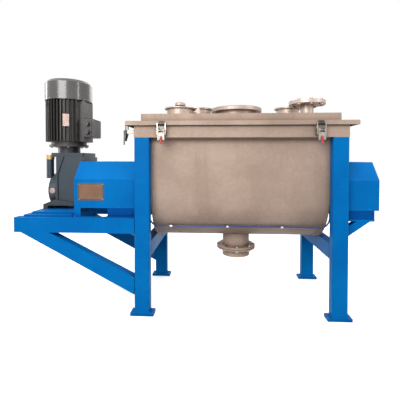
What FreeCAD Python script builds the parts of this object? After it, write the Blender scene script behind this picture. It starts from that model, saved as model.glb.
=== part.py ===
import FreeCAD, Part
import math
import os

import Sketcher

# Ribbon blender: a U-shaped trough on a welded stand, with a double ribbon agitator and a drive.
#
# Lengths are millimetres and angles degrees. The machine runs along X, with the drive at the low end,
# Z is up and the floor is Z = 0. Sketches are drawn from the middle of the trough unless said otherwise.

os.makedirs("parts", exist_ok=True)
document = FreeCAD.newDocument("RibbonBlender")
Vector = FreeCAD.Vector

SIZES = {
    # whole machine
    "trough_x": 303,        # middle of the trough, from the middle of the machine's length
    "axis_z": 800,          # height of the agitator shaft
    # legs, feet and beams
    "leg_span": 1282,       # between the legs' middles, along the machine
    "stand_deep": 778,      # over the legs, front to rear
    "leg_wide": 100,
    "leg_deep": 65,
    "tube_wall": 5,
    "tube_corner": 8,
    "foot_long": 155,
    "foot_deep": 77,
    "foot_over": 6,         # foot past the leg's outer face
    "foot_thick": 20,
    "cross_low": 385,
    "cross_tall": 100,
    "cross_wide": 65,
    "beam_low": 545,
    "beam_tall": 100,
    "beam_reach": 822,      # from the leg to the free end
    "brace_foot_low": 140,
    "brace_foot_high": 254,
    "brace_head_far": 776,  # from the leg, where the lower edge meets the beam
    "brace_head_near": 579,
    # plates that carry the drive and the bearings
    "gear_plate_left": 1470,
    "gear_plate_long": 338,
    "gear_plate_deep": 700,
    "gear_plate_thick": 12,
    "gear_pad_deep": 600,
    "gear_pad_inset": 30,
    "gear_pad_thick": 13,
    "shelf_thick": 25,
    "shelf_long": 150,
    "platform_long": 188,
    "platform_thick": 12,
    "platform_deep": 658,
    "platform_top": 645,
    "strut_foot": 113,      # strut's lower edge under the platform, at the leg
    "strut_reach": 159,
    "strut_wide": 50,
    "pedestal_long": 84,
    "pedestal_deep": 290,
    # sheet guards
    "guard_sheet": 3,
    "guard_deep": 658,
    "guard_top_deep": 464,
    "guard_fold_z": 900,
    "guard_top_z": 1020,
    "guard_low_z": 703,
    "guard_left_long": 433,
    "guard_right_long": 216,
    "guard_post": 44,
    "guard_opening": 187,
    "guard_shaft_hole": 106,
    "skirt_lap": 20,
    # trough
    "shell_radius": 328,
    "shell_wall": 6,
    "trough_long": 1156,    # inside, between the end plates
    "end_thick": 13,
    "end_proud": 5,
    "end_hole": 44,
    "rim_low": 1180,
    "rim_tall": 78,
    "rim_long": 1388,
    "rim_wall": 4,
    "seal_wide": 30,
    "seal_tall": 22,
    "seal_inset": 7,
    # lid
    "lid_long": 1490,
    "lid_deep": 822,
    "lid_lip": 28,
    "lid_sheet": 6,
    "box_long": 1306,
    "box_deep": 700,
    "box_tall": 54,
    "box_sheet": 4,
    # ports on the lid
    "feed_x": -425,
    "feed_y": -60,
    "feed_radius": 99,
    "feed_tall": 72,
    "feed_lid_radius": 116,
    "feed_lid_thick": 8,
    "knob_radius": 40,
    "knob_tall": 30,
    "knob_stem": 14,
    "knob_stem_radius": 10,
    "hinge_reach": 135,     # feed port's middle to its hinge pin
    "feed_pin_radius": 5,
    "manway_radius": 150,
    "manway_tall": 56,
    "manway_flange_radius": 190,
    "manway_flange": 10,
    "manway_cover": 17,
    "nozzle_x": 490,
    "nozzle_y": -150,
    "nozzle_radius": 44.5,
    "nozzle_tall": 84,
    "nozzle_flange_radius": 125,
    "nozzle_flange": 12,
    "nozzle_bolt_circle": 210,
    "rear_right_x": 410,
    "rear_right_y": 95,
    "rear_right_radius": 86,
    "rear_right_tall": 90,
    "rear_left_x": -295,
    "rear_left_y": 150,
    "rear_left_radius": 99,
    "rear_left_tall": 98,
    "cap_over": 17,
    "cap_thick": 10,
    "port_wall": 3,
    # outlet below the trough
    "outlet_radius": 100.5,
    "outlet_wall": 5,
    "outlet_flange_radius": 145,
    "outlet_flange_top": 389,
    "outlet_flange": 12,
    "outlet_gasket": 3,
    "spigot_flange": 10,
    "spigot_radius": 103,
    "spigot_wall": 4,
    "spigot_low": 311,
    "outlet_bolt_circle": 256,
    # bolts
    "bolt_radius": 8,
    "bolt_head_radius": 12,
    "bolt_head_tall": 8,
    "bolt_count": 8,
    # agitator
    "shaft_radius": 40,
    "journal_radius": 35,
    "coupling_end_radius": 32,
    "sweep_gap": 10,        # outer ribbon to the trough
    "end_gap": 30,          # ribbon to the end plate
    "outer_band": 45,
    "inner_ribbon_radius": 175,
    "inner_band": 40,
    "ribbon_thick": 8,
    "arm_wide": 40,
    "arm_thick": 16,
    "run_gap": 0.05,        # radial clearance of a turning fit
    # shaft seals and bearings
    "gland_flange_radius": 95,
    "gland_flange": 12,
    "gland_radius": 62,
    "gland_long": 36,
    "follower_radius": 52,
    "follower_long": 10,
    "bearing_left_x": -830,
    "bearing_right_x": 790,
    "bearing_centre": 80,   # shaft above the bearing's foot
    "bearing_wide": 72,
    "bearing_foot_deep": 266,
    "bearing_foot_tall": 24,
    "bearing_ring_radius": 66,
    "bearing_boss_radius": 54,
    "bearing_boss": 8,
    "bearing_bolt_span": 210,
    "bearing_bolt_radius": 9,
    # coupling
    "coupling_x": -985,
    "coupling_gap": 34,
    "coupling_radius": 85,
    "coupling_disc": 26,
    "coupling_hub_radius": 62,
    "coupling_hub": 47,
    "jaw_long": 30,
    "jaw_inner_radius": 40,
    "jaw_half_angle": 18,
    "spider_slack": 0.3,
    "output_radius": 35,
    "output_long": 210,
    # gearbox, drawn from the motor's axis
    "gear_x": -1315,
    "gear_base_z": 670,
    "gear_top_z": 1054,
    "gear_right": 165,
    "gear_left": 30,
    "gear_deep": 300,
    "gear_foot_left": 117,
    "gear_foot_deep": 350,
    "gear_foot_tall": 34,
    "gear_arch_tall": 24,
    "gear_drum_radius": 126,
    "gear_drum_long": 75,
    "gear_cover_radius": 80,
    "gear_cover_long": 35,
    "gear_boss_radius": 98,
    "gear_boss_long": 38,
    "gear_rib": 9,
    "tank_radius": 27,
    "tank_x": -122,
    "tank_y": -62,
    "tank_low": 890,
    "tank_high": 1036,
    "breather_radius": 30,
    "breather_tall": 34,
    # motor, drawn from its own axis
    "adapter_left": 86,
    "adapter_half": 118,
    "adapter_plate": 31,
    "neck_radius": 82,
    "motor_flange_z": 1133,
    "motor_flange_radius": 144,
    "motor_flange": 16,
    "motor_body_z": 1172,
    "motor_core_radius": 146,
    "motor_body_tall": 313,
    "fin_radius": 168,
    "fin_thick": 5,
    "fin_count": 30,
    "fin_sweep": 264,
    "motor_flat_half": 84,
    "motor_flat_reach": 156,
    "motor_shaft_radius": 21,
    "cowl_radius": 173.5,
    "cowl_sheet": 3,
    "cowl_tall": 153,
    "cowl_lap": 12,
    "cowl_crown": 22,
    "cowl_slot": 12,
    "cowl_slots": 12,
    "fan_radius": 146,
    "fan_tall": 48,
    "fan_blades": 8,
    "box_reach": 235,
    "box_near": 166,
    "box_low": 1202,
    "box_high": 1344,
    "box_front": 115,
    "box_rear": 55,
    "box_cover": 9,
    "cable_gland_radius": 17,
    "cable_gland_long": 24,
    # toggle latches, drawn from the lever's pin with the machine on the +Y side
    "latch_x": 505,
    "latch_end_y": -330,
    "latch_pin_z": 1222,
    "latch_pin_off": 14,    # lever pin to the lid's lip
    "latch_pin_radius": 4,
    "latch_plate": 4,
    "latch_plate_half": 28,
    "latch_plate_low": 36,
    "latch_plate_high": 32,
    "ear_inner": 13,
    "ear_outer": 17,
    "ear_radius": 13,
    "lever_inner": 18,
    "lever_outer": 22,
    "lever_long": 62,
    "lever_front": 12,
    "grip_half": 11,
    "grip_long": 44,
    "grip_over": 26,
    "bail_pin_y": 2,
    "bail_pin_z": 26,
    "bail_half": 26,
    "bail_rod": 3,
    "bail_bar_y": 5,
    "bail_bar_z": 47,
    "keeper_half": 18,
    "keeper_plate": 3,
    "keeper_hook": 3,
    "keeper_reach": 20,
    "keeper_up": 9,
    "bail_gap": 0.3,        # bail to the keeper's hook
    # lid hinges
    "lid_hinge_x": 450,
    "lid_pin_off": 44,      # pin to the rim's rear face
    "lid_pin_z": 1265,
    "lid_pin_radius": 6,
    "knuckle_radius": 11,
    "knuckle_long": 30,
    "leaf_thick": 4,
    "leaf_tall": 46,
    # air hose and its clips
    "hose_radius": 5.5,
    "hose_line": 340,       # hose to the shaft's axis
    "hose_angle": 42,       # below the horizontal
    "clip_thick": 2,
    "clip_long": 16,
    "port_fitting_radius": 9,
    "port_fitting_long": 34,
}

sheet = document.addObject("Spreadsheet::Sheet", "Sizes")
for row, (alias, value) in enumerate(SIZES.items(), start=1):
    sheet.set(f"A{row}", alias)
    sheet.set(f"B{row}", str(value))
    sheet.setAlias(f"B{row}", alias)
document.recompute()


class Size:
    """A size as the document works it out from the sheet, with its present value."""

    def __init__(self, text, value):
        self.text = text
        self.value = value

    def _join(self, sign, other, value):
        return Size(f"({self.text} {sign} {other.text})", value)

    def __add__(self, other):
        other = size_of(other)
        return self._join("+", other, self.value + other.value)

    def __radd__(self, other):
        return size_of(other) + self

    def __sub__(self, other):
        other = size_of(other)
        return self._join("-", other, self.value - other.value)

    def __rsub__(self, other):
        return size_of(other) - self

    def __mul__(self, other):
        other = size_of(other)
        return self._join("*", other, self.value * other.value)

    def __rmul__(self, other):
        return size_of(other) * self

    def __truediv__(self, other):
        other = size_of(other)
        return self._join("/", other, self.value / other.value)

    def __neg__(self):
        return Size(f"(-{self.text})", -self.value)


def size_of(number):
    """Return a Size for a Size or a plain number."""
    if isinstance(number, Size):
        return number
    return Size(f"({number})", float(number))


def sine(angle):
    angle = size_of(angle)
    return Size(f"sin({angle.text})", math.sin(math.radians(angle.value)))


def cosine(angle):
    angle = size_of(angle)
    return Size(f"cos({angle.text})", math.cos(math.radians(angle.value)))


def root(number):
    return Size(f"sqrt({number.text})", math.sqrt(number.value))


class DrivingSizes:
    """Gives each driving size of the sheet by its name."""

    def __getattr__(self, alias):
        return Size(f"Sizes.{alias}", float(SIZES[alias]))


S = DrivingSizes()


def bind(thing, prop, size):
    """Tie one property of an object to the sheet."""
    thing.setExpression(prop, size_of(size).text)


class Bend:
    """An arc from one corner to the next, by one coordinate of its middle and the way it turns."""

    def __init__(self, across=None, up=None, left=True):
        self.across = across
        self.up = up
        self.left = left

    def middle(self, start, end):
        """Return the arc's middle, as far from the start as from the end."""
        if self.up is not None:
            up = size_of(self.up).value
            rise = (start.y - up) ** 2 - (end.y - up) ** 2
            across = (start.x ** 2 - end.x ** 2 + rise) / (2 * (start.x - end.x))
            return Vector(across, up, 0)
        across = size_of(self.across).value
        run = (start.x - across) ** 2 - (end.x - across) ** 2
        return Vector(across, (start.y ** 2 - end.y ** 2 + run) / (2 * (start.y - end.y)), 0)


class Drawing:
    """Collects the edges, rules and ties of one sketch."""

    def __init__(self):
        self.edges = []
        self.rules = []
        self.ties = []

    def hold(self, kind, edge, end, size):
        """Hold a point at a distance from the sketch's origin."""
        size = size_of(size)
        self.ties.append((len(self.rules), size))
        self.rules.append(Sketcher.Constraint(kind, -1, 1, edge, end, size.value))

    def put_in(self, sketch):
        sketch.addGeometry(self.edges, False)
        sketch.addConstraint(self.rules)
        for number, size in self.ties:
            bind(sketch, f"Constraints[{number}]", size)


class Outline:
    """A closed loop through corners (across, up) or (across, up, Bend to the next corner)."""

    def __init__(self, *corners):
        self.corners = corners

    def add_to(self, drawing):
        first = len(drawing.edges)
        count = len(self.corners)
        spots = [Vector(size_of(c[0]).value, size_of(c[1]).value, 0) for c in self.corners]
        ends = []
        for number, corner in enumerate(self.corners):
            start = spots[number]
            end = spots[(number + 1) % count]
            if len(corner) == 2:
                drawing.edges.append(Part.LineSegment(start, end))
                ends.append((1, 2))
                continue
            bend = corner[2]
            middle = bend.middle(start, end)
            circle = Part.Circle(middle, Vector(0, 0, 1), start.distanceToPoint(middle))
            low, high = (start, end) if bend.left else (end, start)
            turn_low = math.atan2(low.y - middle.y, low.x - middle.x)
            turn_high = math.atan2(high.y - middle.y, high.x - middle.x)
            if turn_high <= turn_low:
                turn_high += 2 * math.pi
            drawing.edges.append(Part.ArcOfCircle(circle, turn_low, turn_high))
            ends.append((1, 2) if bend.left else (2, 1))
        for number, corner in enumerate(self.corners):
            edge = first + number
            following = first + (number + 1) % count
            joint = (edge, ends[number][1], following, ends[(number + 1) % count][0])
            drawing.rules.append(Sketcher.Constraint("Coincident", *joint))
            drawing.hold("DistanceX", edge, ends[number][0], corner[0])
            drawing.hold("DistanceY", edge, ends[number][0], corner[1])
            if len(corner) == 3 and corner[2].up is not None:
                drawing.hold("DistanceY", edge, 3, corner[2].up)
            elif len(corner) == 3:
                drawing.hold("DistanceX", edge, 3, corner[2].across)


class Ring:
    """A full circle."""

    def __init__(self, across, up, radius):
        self.across = size_of(across)
        self.up = size_of(up)
        self.radius = size_of(radius)

    def add_to(self, drawing):
        edge = len(drawing.edges)
        middle = Vector(self.across.value, self.up.value, 0)
        drawing.edges.append(Part.Circle(middle, Vector(0, 0, 1), self.radius.value))
        drawing.hold("DistanceX", edge, 3, self.across)
        drawing.hold("DistanceY", edge, 3, self.up)
        drawing.ties.append((len(drawing.rules), self.radius))
        drawing.rules.append(Sketcher.Constraint("Radius", edge, self.radius.value))


def block(left, low, right, high):
    """Return a rectangle by its two corners."""
    return Outline((left, low), (right, low), (right, high), (left, high))


def middle_block(across, up, wide, tall):
    """Return a rectangle about its middle."""
    return block(across - wide / 2, up - tall / 2, across + wide / 2, up + tall / 2)


def round_block(left, low, right, high, radius):
    """Return a rectangle with round corners."""
    return Outline(
        (left + radius, low),
        (right - radius, low, Bend(across=right - radius)),
        (right, low + radius),
        (right, high - radius, Bend(across=right - radius)),
        (right - radius, high),
        (left + radius, high, Bend(across=left + radius)),
        (left, high - radius),
        (left, low + radius, Bend(across=left + radius)),
    )


nodes = []


class Piece:
    """One sub-part: a PartDesign body, drawn from a place on the machine."""

    def __init__(self, name, across=0, depth=0, up=0, turn=None, own_node=True):
        self.body = document.addObject("PartDesign::Body", name)
        self.body.Label = name
        self.body.AllowCompound = True
        if turn is not None:
            self.body.Placement = FreeCAD.Placement(Vector(), turn)
        bind(self.body, "Placement.Base.x", S.trough_x + across)
        bind(self.body, "Placement.Base.y", depth)
        bind(self.body, "Placement.Base.z", up)
        self.count = 0
        if own_node:
            nodes.append(self.body)

    def origin(self, role):
        """Return one of the body's own planes or axes."""
        return next(f for f in self.body.Origin.OriginFeatures if f.Role == role)

    def sketch(self, plane, level, loops):
        """Draw loops on a plane parallel to one of the body's own, at a level along its normal."""
        self.count += 1
        sketch = self.body.newObject("Sketcher::SketchObject", f"{self.body.Name}_sketch{self.count}")
        sketch.AttachmentSupport = (self.origin(f"{plane}_Plane"), [""])
        sketch.MapMode = "FlatFace"
        bind(sketch, ".AttachmentOffset.Base.z", level)
        drawing = Drawing()
        for loop in loops:
            loop.add_to(drawing)
        drawing.put_in(sketch)
        return sketch

    def feature(self, kind, sketch):
        """Add a feature made from a sketch."""
        feature = self.body.newObject(f"PartDesign::{kind}", f"{self.body.Name}_{kind}{self.count}")
        feature.Profile = sketch
        return feature

    def prism(self, plane, low, high, *loops):
        """Add what the loops enclose, from one level to another along X, Y or Z."""
        level = -size_of(high) if plane == "XZ" else low
        pad = self.feature("Pad", self.sketch(plane, level, loops))
        bind(pad, "Length", size_of(high) - low)
        return pad

    def hollow(self, plane, low, high, *loops):
        """Cut what the loops enclose, from one level to another."""
        document.recompute()
        before = self.body.Shape.Volume
        level = -size_of(low) if plane == "XZ" else high
        pocket = self.feature("Pocket", self.sketch(plane, level, loops))
        bind(pocket, "Length", size_of(high) - low)
        document.recompute()
        if not self.body.Shape.Volume < before:
            raise RuntimeError(f"{pocket.Name} cuts nothing")
        return pocket

    def turned(self, axis, *loops):
        """Add a revolved form about the body's own X ("H_Axis") or Z ("V_Axis")."""
        turned = self.feature("Revolution", self.sketch("XZ", 0, loops))
        turned.ReferenceAxis = (turned.Profile[0], [axis])
        turned.Angle = 360
        return turned

    def grooved(self, axis, *loops):
        """Cut a revolved form."""
        document.recompute()
        before = self.body.Shape.Volume
        groove = self.feature("Groove", self.sketch("XZ", 0, loops))
        groove.ReferenceAxis = (groove.Profile[0], [axis])
        groove.Angle = 360
        document.recompute()
        if not self.body.Shape.Volume < before:
            raise RuntimeError(f"{groove.Name} cuts nothing")
        return groove

    def repeat_round(self, axis, count, *features, angle=360):
        """Repeat features about one of the body's own axes."""
        pattern = self.body.newObject("PartDesign::PolarPattern", f"{self.body.Name}_round{self.count}")
        pattern.Originals = list(features)
        pattern.Axis = (self.origin(f"{axis}_Axis"), [""])
        bind(pattern, "Angle", angle)
        bind(pattern, "Occurrences", count)
        self.body.Tip = pattern
        return pattern

    def rounded(self, radius, wanted):
        """Round the edges whose middles the test wants."""
        document.recompute()
        base = self.body.Tip
        names = [f"Edge{n}" for n, edge in enumerate(base.Shape.Edges, start=1) if wanted(edge)]
        fillet = self.body.newObject("PartDesign::Fillet", f"{self.body.Name}_round_edges{self.count}")
        fillet.Base = (base, names)
        bind(fillet, "Radius", radius)
        self.body.Tip = fillet
        return fillet


def group(name, pieces):
    """Put separate solids that share a node under one name."""
    compound = document.addObject("Part::Compound", name)
    compound.Label = name
    compound.Links = [piece.body for piece in pieces]
    nodes.append(compound)
    return compound


ENDS = {"left": -1, "right": 1}
SIDES = {"front": -1, "rear": 1}
FACING_FRONT = FreeCAD.Rotation()
FACING_LEFT = FreeCAD.Rotation(Vector(0, 0, 1), -90)

# ------------------------------------------------------------------------------------------ stand
leg_x = S.leg_span / 2
leg_out_x = leg_x + S.leg_wide / 2
leg_in_x = leg_x - S.leg_wide / 2
leg_out_y = S.stand_deep / 2
leg_in_y = leg_out_y - S.leg_deep
beam_top = S.beam_low + S.beam_tall


def make_legs():
    """Four upright rectangular tubes and the plates under them."""
    for side, front in SIDES.items():
        pair = []
        for end, along in ENDS.items():
            middle_y = front * (leg_out_y - S.leg_deep / 2)
            leg = Piece(f"leg_{side}_{end}", along * leg_x, middle_y, own_node=False)
            pair.append(leg)
            half = (S.leg_wide / 2, S.leg_deep / 2)
            inner = (half[0] - S.tube_wall, half[1] - S.tube_wall)
            leg.prism(
                "XY", S.foot_thick, S.rim_low,
                round_block(-half[0], -half[1], half[0], half[1], S.tube_corner),
                block(-inner[0], -inner[1], inner[0], inner[1]),
            )
        group(f"{side}_legs", pair)
    feet = Piece("foot_plates")
    foot_y = leg_out_y + S.foot_over - S.foot_deep / 2
    feet.prism("XY", 0, S.foot_thick, *[
        middle_block(along * leg_x, front * foot_y, S.foot_long, S.foot_deep)
        for along in ENDS.values() for front in SIDES.values()
    ])


def make_beams():
    """The low cross beams, the pair of beams under the drive and their braces."""
    cross = Piece("cross_beams")
    loops = []
    for along in ENDS.values():
        middle = along * (leg_in_x + S.cross_wide / 2)
        up = S.cross_low + S.cross_tall / 2
        loops.append(middle_block(middle, up, S.cross_wide, S.cross_tall))
        hole = (S.cross_wide - 2 * S.tube_wall, S.cross_tall - 2 * S.tube_wall)
        loops.append(middle_block(middle, up, *hole))
    cross.prism("XZ", -leg_in_y, leg_in_y, *loops)

    beams = Piece("drive_beams")
    left = -leg_out_x - S.beam_reach
    middles = [front * (leg_out_y - S.leg_deep / 2) for front in SIDES.values()]
    up = S.beam_low + S.beam_tall / 2
    beams.prism("YZ", left, -leg_out_x, *[
        middle_block(middle, up, S.leg_deep, S.beam_tall) for middle in middles
    ])
    hole = (S.leg_deep - 2 * S.tube_wall, S.beam_tall - 2 * S.tube_wall)
    beams.hollow("YZ", left + S.tube_wall, -leg_out_x, *[
        middle_block(middle, up, *hole) for middle in middles
    ])

    braces = Piece("drive_braces")
    skin_foot = S.tube_wall * 1.13
    skin_head = S.tube_wall * 2.16
    for front in SIDES.values():
        near = front * leg_out_y
        far = front * leg_in_y
        low, high = (near, far) if front < 0 else (far, near)
        braces.prism("XZ", low, high, Outline(
            (-leg_out_x, S.brace_foot_low),
            (-leg_out_x, S.brace_foot_high),
            (-leg_out_x - S.brace_head_near, S.beam_low),
            (-leg_out_x - S.brace_head_far, S.beam_low),
        ))
        braces.hollow("XZ", low + S.tube_wall, high - S.tube_wall, Outline(
            (-leg_out_x, S.brace_foot_low + skin_foot),
            (-leg_out_x, S.brace_foot_high - skin_foot),
            (-leg_out_x - S.brace_head_near - skin_head, S.beam_low),
            (-leg_out_x - S.brace_head_far + skin_head, S.beam_low),
        ))


def make_carriers():
    """Plates that the gearbox and the two shaft bearings stand on."""
    plate = Piece("gearbox_plate")
    left = -S.gear_plate_left
    right = left + S.gear_plate_long
    half = S.gear_plate_deep / 2
    top = beam_top + S.gear_plate_thick
    plate.prism("XY", beam_top, top, block(left, -half, right, half))
    pad_half = S.gear_pad_deep / 2
    plate.prism("XY", top, S.gear_base_z, block(left + S.gear_pad_inset, -pad_half, right, pad_half))

    pedestal_top = S.axis_z - S.bearing_centre
    shelf = Piece("bearing_shelf", S.bearing_left_x)
    shelf_half = S.shelf_long / 2
    shelf.prism(
        "XY", beam_top - S.shelf_thick, beam_top, block(-shelf_half, -leg_in_y, shelf_half, leg_in_y)
    )
    foot = middle_block(size_of(0), size_of(0), S.pedestal_long, S.pedestal_deep)
    shelf.prism("XY", beam_top, pedestal_top, foot)

    platform = Piece("bearing_platform")
    deep = S.platform_deep / 2
    platform.prism(
        "XY", S.platform_top - S.platform_thick, S.platform_top,
        block(leg_out_x, -deep, leg_out_x + S.platform_long, deep),
    )
    foot = middle_block(S.bearing_right_x, size_of(0), S.pedestal_long, S.pedestal_deep)
    platform.prism("XY", S.platform_top, pedestal_top, foot)
    under = S.platform_top - S.platform_thick
    strut = Outline(
        (leg_out_x, under - S.strut_foot),
        (leg_out_x + S.strut_reach, under),
        (leg_out_x + S.strut_reach - 1.7 * S.strut_wide, under),
        (leg_out_x, under - S.strut_foot + 1.3 * S.strut_wide),
    )
    for low in (-deep, deep - S.strut_wide):
        platform.prism("XZ", low, low + S.strut_wide, strut)


# ---------------------------------------------------------------------------------------- guards
def guard_profile(inset, low):
    """Return the guard's section across the shaft: upright sides, sloping shoulders, flat top."""
    wide = S.guard_deep / 2
    top = S.guard_top_deep / 2
    run = wide - top
    rise = S.guard_top_z - S.guard_fold_z
    slope = root(run * run + rise * rise)
    fold_z = S.guard_fold_z - inset * (slope - rise) / run
    top_y = top - inset * (slope - run) / rise
    return Outline(
        (inset - wide, low),
        (wide - inset, low),
        (wide - inset, fold_z),
        (top_y, S.guard_top_z - inset),
        (-top_y, S.guard_top_z - inset),
        (inset - wide, fold_z),
    )


def make_guards():
    """Folded sheet guards over the coupling and over the far bearing, and the skirts below them."""
    wide = S.guard_deep / 2
    guard = Piece("drive_guard")
    left = -leg_out_x - S.guard_left_long
    guard.prism("YZ", left, -leg_out_x, guard_profile(size_of(0), beam_top))
    guard.hollow("YZ", left + S.guard_sheet, -leg_out_x, guard_profile(S.guard_sheet, beam_top))
    opening = left + S.guard_post
    guard.hollow("XZ", -wide, wide, block(opening, beam_top, -leg_out_x, S.guard_low_z))
    guard.hollow("YZ", left, left + S.guard_sheet, Ring(0, S.axis_z, S.guard_shaft_hole))

    cover = Piece("bearing_guard")
    right = leg_out_x + S.guard_right_long
    cover.prism("YZ", leg_out_x, right, guard_profile(size_of(0), S.guard_low_z))
    cover.hollow("YZ", leg_out_x, right - S.guard_sheet, guard_profile(S.guard_sheet, S.guard_low_z))

    skirt = Piece("drive_skirts", own_node=False)
    inner = wide - S.guard_sheet
    start = opening + S.guard_opening
    top = S.guard_low_z + S.skirt_lap
    skirt.prism(
        "XY", beam_top, top,
        block(start, -inner, -leg_out_x, S.guard_sheet - inner),
        block(start, inner - S.guard_sheet, -leg_out_x, inner),
    )
    far_skirt = Piece("bearing_skirt", own_node=False)
    end = leg_out_x + S.platform_long
    far_skirt.prism(
        "XY", S.platform_top, top,
        Outline(
            (leg_out_x, -inner), (end, -inner), (end, inner), (leg_out_x, inner),
            (leg_out_x, inner - S.guard_sheet), (end - S.guard_sheet, inner - S.guard_sheet),
            (end - S.guard_sheet, S.guard_sheet - inner), (leg_out_x, S.guard_sheet - inner),
        ),
    )
    group("guard_skirts", [skirt, far_skirt])


# ---------------------------------------------------------------------------------------- trough
half_trough = S.trough_long / 2
end_out_x = half_trough + S.end_thick
rim_top = S.rim_low + S.rim_tall


def make_trough():
    """The bent shell, its two end plates, the hollow rim and the seal on the rim."""
    radius = S.shell_radius
    inner = radius - S.shell_wall
    shell = Piece("trough_shell")
    shell.prism("YZ", -half_trough, half_trough, Outline(
        (-radius, rim_top),
        (-radius, S.axis_z, Bend(up=S.axis_z)),
        (radius, S.axis_z),
        (radius, rim_top),
        (inner, rim_top),
        (inner, S.axis_z, Bend(up=S.axis_z, left=False)),
        (-inner, S.axis_z),
        (-inner, rim_top),
    ))
    shell.hollow(
        "XY", S.axis_z - radius - S.shell_wall, S.axis_z, Ring(0, 0, S.outlet_radius - S.outlet_wall)
    )
    proud = radius + S.end_proud
    for end, along in ENDS.items():
        plate = Piece(f"trough_end_{end}")
        near = along * half_trough
        far = along * end_out_x
        low, high = (far, near) if along < 0 else (near, far)
        plate.prism("YZ", low, high, Outline(
            (-proud, S.axis_z, Bend(up=S.axis_z)),
            (proud, S.axis_z),
            (proud, S.rim_low),
            (radius, S.rim_low),
            (radius, rim_top),
            (-radius, rim_top),
            (-radius, S.rim_low),
            (-proud, S.rim_low),
        ))
        plate.hollow("YZ", low, high, Ring(0, S.axis_z, S.end_hole))

    rim = Piece("rim_band")
    out_x = S.rim_long / 2
    wall = S.rim_wall
    rim.prism(
        "XY", S.rim_low, rim_top,
        round_block(-out_x, -leg_out_y, out_x, leg_out_y, S.tube_corner),
        block(-end_out_x, -radius, end_out_x, radius),
    )
    rim.hollow(
        "XY", S.rim_low + wall, rim_top - wall,
        block(wall - out_x, wall - leg_out_y, out_x - wall, leg_out_y - wall),
        block(-end_out_x - wall, -radius - wall, end_out_x + wall, radius + wall),
    )
    seal = Piece("rim_seal")
    near = (end_out_x + S.seal_inset, radius + S.seal_inset)
    far = (near[0] + S.seal_wide, near[1] + S.seal_wide)
    seal.prism(
        "XY", rim_top, rim_top + S.seal_tall,
        block(-far[0], -far[1], far[0], far[1]),
        block(-near[0], -near[1], near[0], near[1]),
    )


# ------------------------------------------------------------------------------------------- lid
lid_top = rim_top + S.lid_lip
box_top = lid_top + S.box_tall
PORTS = {
    "feed": (S.feed_x, S.feed_y, S.feed_radius, S.feed_tall),
    "rear_right": (S.rear_right_x, S.rear_right_y, S.rear_right_radius, S.rear_right_tall),
    "rear_left": (S.rear_left_x, S.rear_left_y, S.rear_left_radius, S.rear_left_tall),
}


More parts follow.
